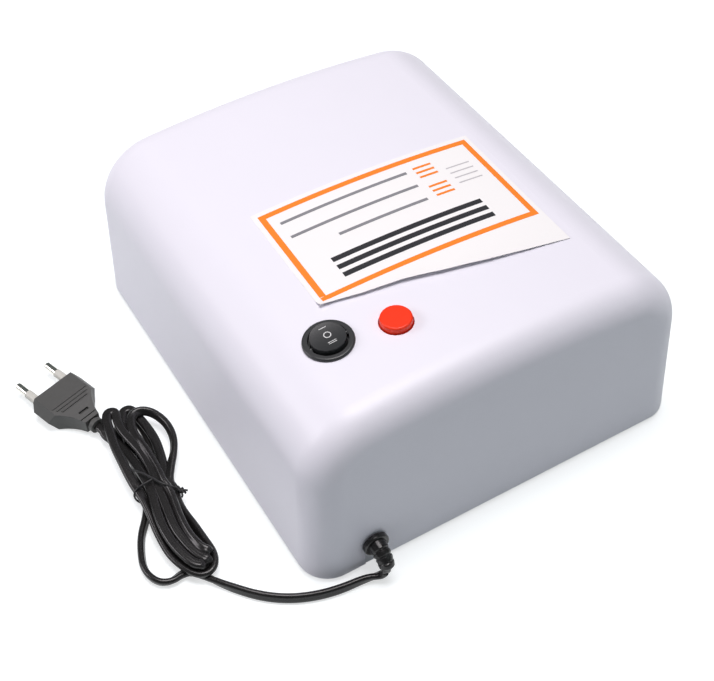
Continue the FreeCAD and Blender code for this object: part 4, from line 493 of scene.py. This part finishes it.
def make_label():
    def near(u):
        return between(LABEL_NEAR_EDGE, u)

    vertices, faces, inks = [], [], []

    def add(patch, ink):
        first = len(vertices)
        vertices.extend(patch[0])
        faces.extend(tuple(first + corner for corner in face) for face in patch[1])
        inks.extend([ink] * len(patch[1]))

    columns, rows = 60, 36
    sheet = sheet_between(lambda u: LABEL_FAR_EDGE, near, -LABEL_HALF_LENGTH, LABEL_HALF_LENGTH, columns, rows, 0.0)
    under = sheet_between(lambda u: LABEL_FAR_EDGE, near, -LABEL_HALF_LENGTH, LABEL_HALF_LENGTH, columns, rows, -0.14)
    add(sheet, 0)
    add((under[0], [tuple(reversed(face)) for face in under[1]]), 0)
    across = columns + 1
    lower = len(sheet[0])
    rim = [(column, column + 1) for column in range(columns)]
    rim += [(row * across + columns, (row + 1) * across + columns) for row in range(rows)]
    rim += [(rows * across + column + 1, rows * across + column) for column in reversed(range(columns))]
    rim += [((row + 1) * across, row * across) for row in reversed(range(rows))]
    faces += [(b, a, a + lower, b + lower) for a, b in rim]
    inks += [0] * len(rim)
    for left, right, low, high, ink in printed_patches():
        steps = max(1, round((right - left) / 3))
        rises = max(1, round((high - low) / 3))
        add(sheet_between(lambda u: low, lambda u: high, left, right, steps, rises, 0.035), ink)
    mesh = mesh_from("label_sheet", vertices, faces)
    for polygon, ink in zip(mesh.polygons, inks):
        polygon.material_index = ink
    smooth(mesh, 40)
    names = ("label_paper", "orange_ink", "black_ink", "grey_ink", "faint_ink")
    label = new_piece("label_sheet", mesh, "label_paper", materials=[kinds[name] for name in names])
    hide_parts("label_sticker")


# Switch marks on the rocker's dished top

ROCKER_RADIUS = 8.0
ROCKER_RISE = 3.6
ROCKER_DISH = 0.6


def on_rocker(x, y):
    """A point on the rocker's dish, in metres, from its place across and along the switch."""
    dish = (ROCKER_RADIUS ** 2 + ROCKER_DISH ** 2) / (2 * ROCKER_DISH)
    level = ROCKER_RISE - ROCKER_DISH + dish - math.sqrt(dish ** 2 - y ** 2)
    return on_crown(*SWITCH_PLACE) @ mm(x, y, level + 0.03)


def make_switch_marks():
    vertices, faces = [], []

    def bar(x, y, length, width):
        first = len(vertices)
        for a, b in ((-1, -1), (1, -1), (1, 1), (-1, 1)):
            vertices.append(on_rocker(x + a * length / 2, y + b * width / 2))
        faces.append(tuple(range(first, first + 4)))

    ring_place = -1.1
    bar(-0.4, -5.4, 3.5, 0.32)
    bar(-0.4, 3.1, 3.9, 0.32)
    bar(-0.4, 4.0, 3.9, 0.32)
    first, steps = len(vertices), 32
    for step in range(steps):
        turn = 2 * math.pi * step / steps
        for radius in (1.3, 1.72):
            vertices.append(on_rocker(radius * math.cos(turn) - 0.4, ring_place + radius * math.sin(turn)))
    for step in range(steps):
        here, there = first + step * 2, first + (step + 1) % steps * 2
        faces.append((here, here + 1, there + 1, there))
    marks = mesh_from("switch_marks", vertices, faces)
    new_piece("switch_marks", marks, "rocker_plastic", body="rocker", materials=[kinds["white_ink"]])


# Cord exit: a ribbed hollow boot that bends down from the grommet

BOOT_START = (70.7, 120.0, 16.1)
BOOT_BEND = 8.5
BOOT_TURN = 68.0


def boot_ring(turn, radius, steps=40):
    """A ring of points square to the boot's middle line after a downward turn in degrees."""
    angle = math.radians(turn)
    middle = Vector(BOOT_START) + Vector((0, BOOT_BEND * math.sin(angle), BOOT_BEND * (math.cos(angle) - 1)))
    over = Vector((0, math.sin(angle), math.cos(angle)))
    ring = []
    for step in range(steps):
        around = 2 * math.pi * step / steps
        ring.append((middle + Vector((math.cos(around), 0, 0)) * radius + over * radius * math.sin(around)) * MM)
    return ring


def make_boot():
    stops = [(0.0, 0.0), (0.20, 0.1)]
    for groove in (0.27, 0.50, 0.73):
        stops += [(groove - 0.03, 0.1), (groove, 0.45), (groove + 0.04, 0.45), (groove + 0.07, 0.1), (groove + 0.12, 0.0)]
    stops += [(0.97, 0.05), (1.0, 0.3)]
    profile = [(BOOT_TURN * share, 4.5 - 0.85 * share - depth) for share, depth in stops]
    profile += [(BOOT_TURN, 3.2), (BOOT_TURN * 0.8, 2.8), (BOOT_TURN * 0.6, 2.8), (BOOT_TURN * 0.4, 2.8)]
    steps = 40
    vertices, faces = [], []
    for turn, radius in profile:
        vertices += boot_ring(turn, radius, steps)
    for ring in range(len(profile) - 1):
        for step in range(steps):
            a, b = ring * steps + step, ring * steps + (step + 1) % steps
            faces.append((a, a + steps, b + steps, b))
    faces.append(tuple(range(steps)))
    faces.append(tuple(reversed(range((len(profile) - 1) * steps, len(profile) * steps))))
    mesh = mesh_from("relief_boot", vertices, faces)
    smooth(mesh, 28)
    boot = new_piece("relief_boot", mesh, SLOTS["strain_relief"])
    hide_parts("strain_relief")
    return boot


# Cord: a flat lead from the boot over the floor, gathered in a hank and tied

FLAT_WIDTH = 4.8
CORE_RADIUS = 1.53
# Each control point is x, y, z in millimetres and the turn of the flat lead about its line in degrees
CORD_ROUTE = [
    (70.5, 127.5, 11.4, 0), (71, 128, 9.2, 0), (71, 127.5, 6, 0), (73, 126.5, 3.2, 30),
    (79, 124, 2.5, 85), (92.5, 123, 2.5, 110), (104, 120, 2.5, 112), (114.5, 115, 2.5, 112),
    (124, 107.5, 2.5, 112), (132, 98, 2.5, 100), (137.5, 90, 2.3, 70), (140.5, 84.5, 2, 30),
    (144, 79.5, 1.8, 0), (148.5, 79, 2, 30), (154.5, 80.5, 2.3, 60), (160, 77.5, 2.5, 75),
    (162.5, 69, 2.5, 80), (160, 60, 2.5, 80), (156, 51, 2.4, 80), (150.5, 44, 2.4, 70),
    (146.5, 37.5, 2.4, 40), (144.5, 28.5, 1.8, 0), (142.5, 20, 1.8, 0), (142, 12.5, 2, 0),
    (140, 5, 2.8, 0), (139, -2, 3.8, 0), (138, -9, 5, 0), (137, -14.5, 5.4, 0), (134, -19.5, 5.6, 0),
    (130, -19, 5.6, 0), (129, -12.5, 5.2, 0), (128, -6, 5, 0), (127.5, 4, 4.9, 0), (129, 13.5, 4.9, 0),
    (131.5, 23.5, 5, 0), (135.5, 33, 5, 0), (137, 40.5, 5, 0), (138, 51.5, 5, 30), (138, 61, 5, 50),
    (137, 68, 5, 40), (136.5, 73, 5.1, 0), (134.5, 78.5, 5.3, 0), (134, 78.5, 8.9, -10),
    (136.5, 75.5, 8.9, -30), (138, 67.5, 8.7, -45), (138, 59.5, 8.6, -45), (137, 50.5, 8.5, -45),
    (135, 38.5, 8.7, -45), (136, 33.5, 9.5, -50), (135, 25.5, 9.6, -50), (135, 15, 9.4, -40),
    (135.5, 5.5, 9, -30), (136, -2.5, 8.8, 0), (133.5, -10, 8.8, 0), (130.5, -13, 8.6, 30),
    (125.5, -12.5, 8.2, 60), (121.5, -8, 7.6, 60), (119, 0, 7, 60), (119.5, 9, 6.5, 60),
    (123, 17, 6, 60), (128, 23.5, 5.5, 30), (133, 31.5, 5.2, 0), (132, 36.5, 5.1, 0),
    (134, 43.5, 5, 40), (134, 51.5, 4.9, 60), (133, 60.5, 4.9, 60), (132.5, 70.5, 4.9, 60),
    (132, 78, 4.9, 60), (134, 84, 4.9, 60), (138, 86.5, 4.9, 40), (142.5, 85, 4.9, 20),
    (146, 79.5, 4.9, 20), (149, 70.5, 4.9, 30), (149.5, 61, 5.2, 50), (149, 52, 5.8, 60),
    (148, 43.5, 6.8, 60), (147.5, 36, 8, 30), (148, 28.5, 8.6, 0), (148, 21.5, 8.9, 0),
    (147.5, 12.5, 9.3, 0), (147, 2.5, 9.5, 0), (145.5, -6.5, 9.6, 0), (144.5, -13.5, 9.6, 0),
    (142, -19.5, 9.4, 0), (138, -18.5, 9.2, 0), (139.5, -12.5, 9, 0), (140, -5.5, 8.8, 0),
    (138.5, 2.5, 8.6, 0), (137, 11, 8.5, 0), (137, 21, 8.5, 0), (138, 29, 8.6, 0), (139, 35, 8.6, 0),
    (140.5, 47.5, 8.6, 0), (142, 58, 8.6, 0), (141.5, 66, 8.4, 0), (140, 74, 8.3, 0),
    (138.5, 78.5, 8.2, 0), (136, 82.5, 8.2, 0), (137, 82.5, 2.3, 0), (136.5, 73, 1.8, 0),
    (137, 65, 1.8, 0), (136.5, 55.5, 1.8, 0), (135.5, 45, 1.8, 0), (133, 32.5, 1.8, 0),
    (132.5, 17.5, 1.8, 0), (130, 5, 1.8, 0), (129, -7.5, 1.8, 0), (130, -14.5, 1.8, 0),
    (134, -18.5, 1.8, 0), (139, -16, 1.8, 0), (141.5, -5.5, 1.8, 0), (140.5, 3.5, 1.8, 0),
    (137, 13, 1.8, 0), (137, 22.5, 1.8, 0), (137.5, 30, 1.8, 0), (140, 43, 1.8, 0), (143, 55, 1.8, 0),
    (143, 66, 1.9, 0), (141.5, 74.5, 2, 0), (139.5, 83.5, 2.3, 0), (139, 83.5, 8.4, 0),
    (142.5, 81.5, 8.6, 0), (145, 74, 8.7, 0), (146.5, 65.5, 8.7, 0), (146.5, 56, 8.7, 0),
    (145, 45.5, 8.7, 0), (142, 33, 8.6, 0), (142, 26, 8, 0), (142, 17.5, 6.6, 0), (142.5, 8, 5.5, 0),
    (143.5, 0.5, 5, 0), (145.5, -5, 5.1, 0), (147.5, -10, 5.6, 0), (147, -13, 6, 0), (148.5, -17, 6, 0),
]


def flat_lead_profile(width, radius, steps=9):
    """Two round cores side by side: a lead wider than high, with a groove along the middle."""
    offset = width / 2 - radius
    half = math.acos(-offset / radius) - 0.25
    outline = []
    for side in (1, -1):
        for step in range(steps):
            angle = -half + 2 * half * step / (steps - 1)
            x, y = offset + radius * math.cos(angle), radius * math.sin(angle)
            outline.append((x * side, y * side))
    return [(x * MM, y * MM) for x, y in outline]


def make_cord(with_pieces):
    steps = 12
    line = points_of(spline_curve("cord_route", [mm(x, y, z) for x, y, z, turn in CORD_ROUTE], steps))
    turns = [turn for x, y, z, turn in CORD_ROUTE]
    upright = Vector((0, 0, 1))
    spans = len(CORD_ROUTE) - 2

    def side_of(index, along):
        place = spans * index / (len(line) - 1) + 0.5
        low = min(int(place), len(turns) - 2)
        turn = turns[low] + (turns[low + 1] - turns[low]) * (place - low)
        side = along.cross(upright)
        if side.length < 0.3:
            side = Vector((1, 0, 0))
        return Matrix.Rotation(math.radians(turn), 3, along) @ side.normalized()

    mesh = swept("cord_lead", line, flat_lead_profile(FLAT_WIDTH, CORE_RADIUS), side_of)
    smooth(mesh, 60)
    lead = new_piece("cord_lead", mesh, "cord_rubber")
    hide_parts("power_cord", "cord_hank")


# Wire tie round the hank: one end over the strands, the other round their left side, twisted together

TIE_OVER = [(145.5, 20.5, 10.6), (143.0, 24.0, 11.5), (140.0, 30.0, 12.1), (137.5, 35.5, 12.1),
            (134.0, 38.5, 10.6), (131.0, 40.0, 8.0), (127.5, 42.0, 6.8)]
TIE_ROUND = [(139.0, 31.0, 11.9), (142.5, 31.3, 11.6), (147.0, 31.5, 11.4), (150.6, 32.3, 9.0),
             (150.2, 33.2, 4.5), (147.0, 34.5, 0.8), (140.5, 36.5, 0.6), (132.5, 40.0, 0.8), (129.6, 41.5, 3.5),
             (131.2, 39.0, 8.3), (128.8, 42.0, 7.6)]
TIE_BARBS = [[(132.2, 38.6, 9.6), (131.0, 41.6, 8.2)], [(130.9, 38.8, 9.0), (129.8, 42.6, 7.4)],
             [(129.4, 40.0, 8.4), (128.9, 42.9, 6.4)]]
TIE_RADIUS = 0.5


def round_profile(radius, steps=12):
    return [(radius * math.cos(2 * math.pi * step / steps), radius * math.sin(2 * math.pi * step / steps))
            for step in range(steps)]


def make_tie():
    pieces = []
    for points in [TIE_OVER, TIE_ROUND] + TIE_BARBS:
        line = points_of(spline_curve("tie_route", [mm(*point) for point in points]))
        pieces.append(swept("tie_part", line, round_profile(TIE_RADIUS * MM), lambda index, along: side_for(along)))
    mesh = joined("twist_tie_wire", pieces)
    smooth(mesh, 60)
    tie = new_piece("twist_tie_wire", mesh, SLOTS["twist_tie"])
    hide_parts("twist_tie")
    return tie


def side_for(along):
    """A steady direction across a line for round wire."""
    return Vector((0.31, 0.42, 0.85)) if abs(along.x) + abs(along.y) > 0.5 else Vector((1, 0.2, 0))


def joined(name, meshes):
    shape = bmesh.new()
    for mesh in meshes:
        shape.from_mesh(mesh)
        bpy.data.meshes.remove(mesh)
    whole = bpy.data.meshes.new(name)
    shape.to_mesh(whole)
    shape.free()
    return whole


SLOTS = {entry["node"]: entry["material_slot"] for entry in frame["record"]["subparts"]}
kinds = make_materials()
make_camera()
make_floor()
make_world()
make_lights()
dress_nodes(kinds)
make_label()
make_switch_marks()
make_cord([make_boot(), make_tie()])
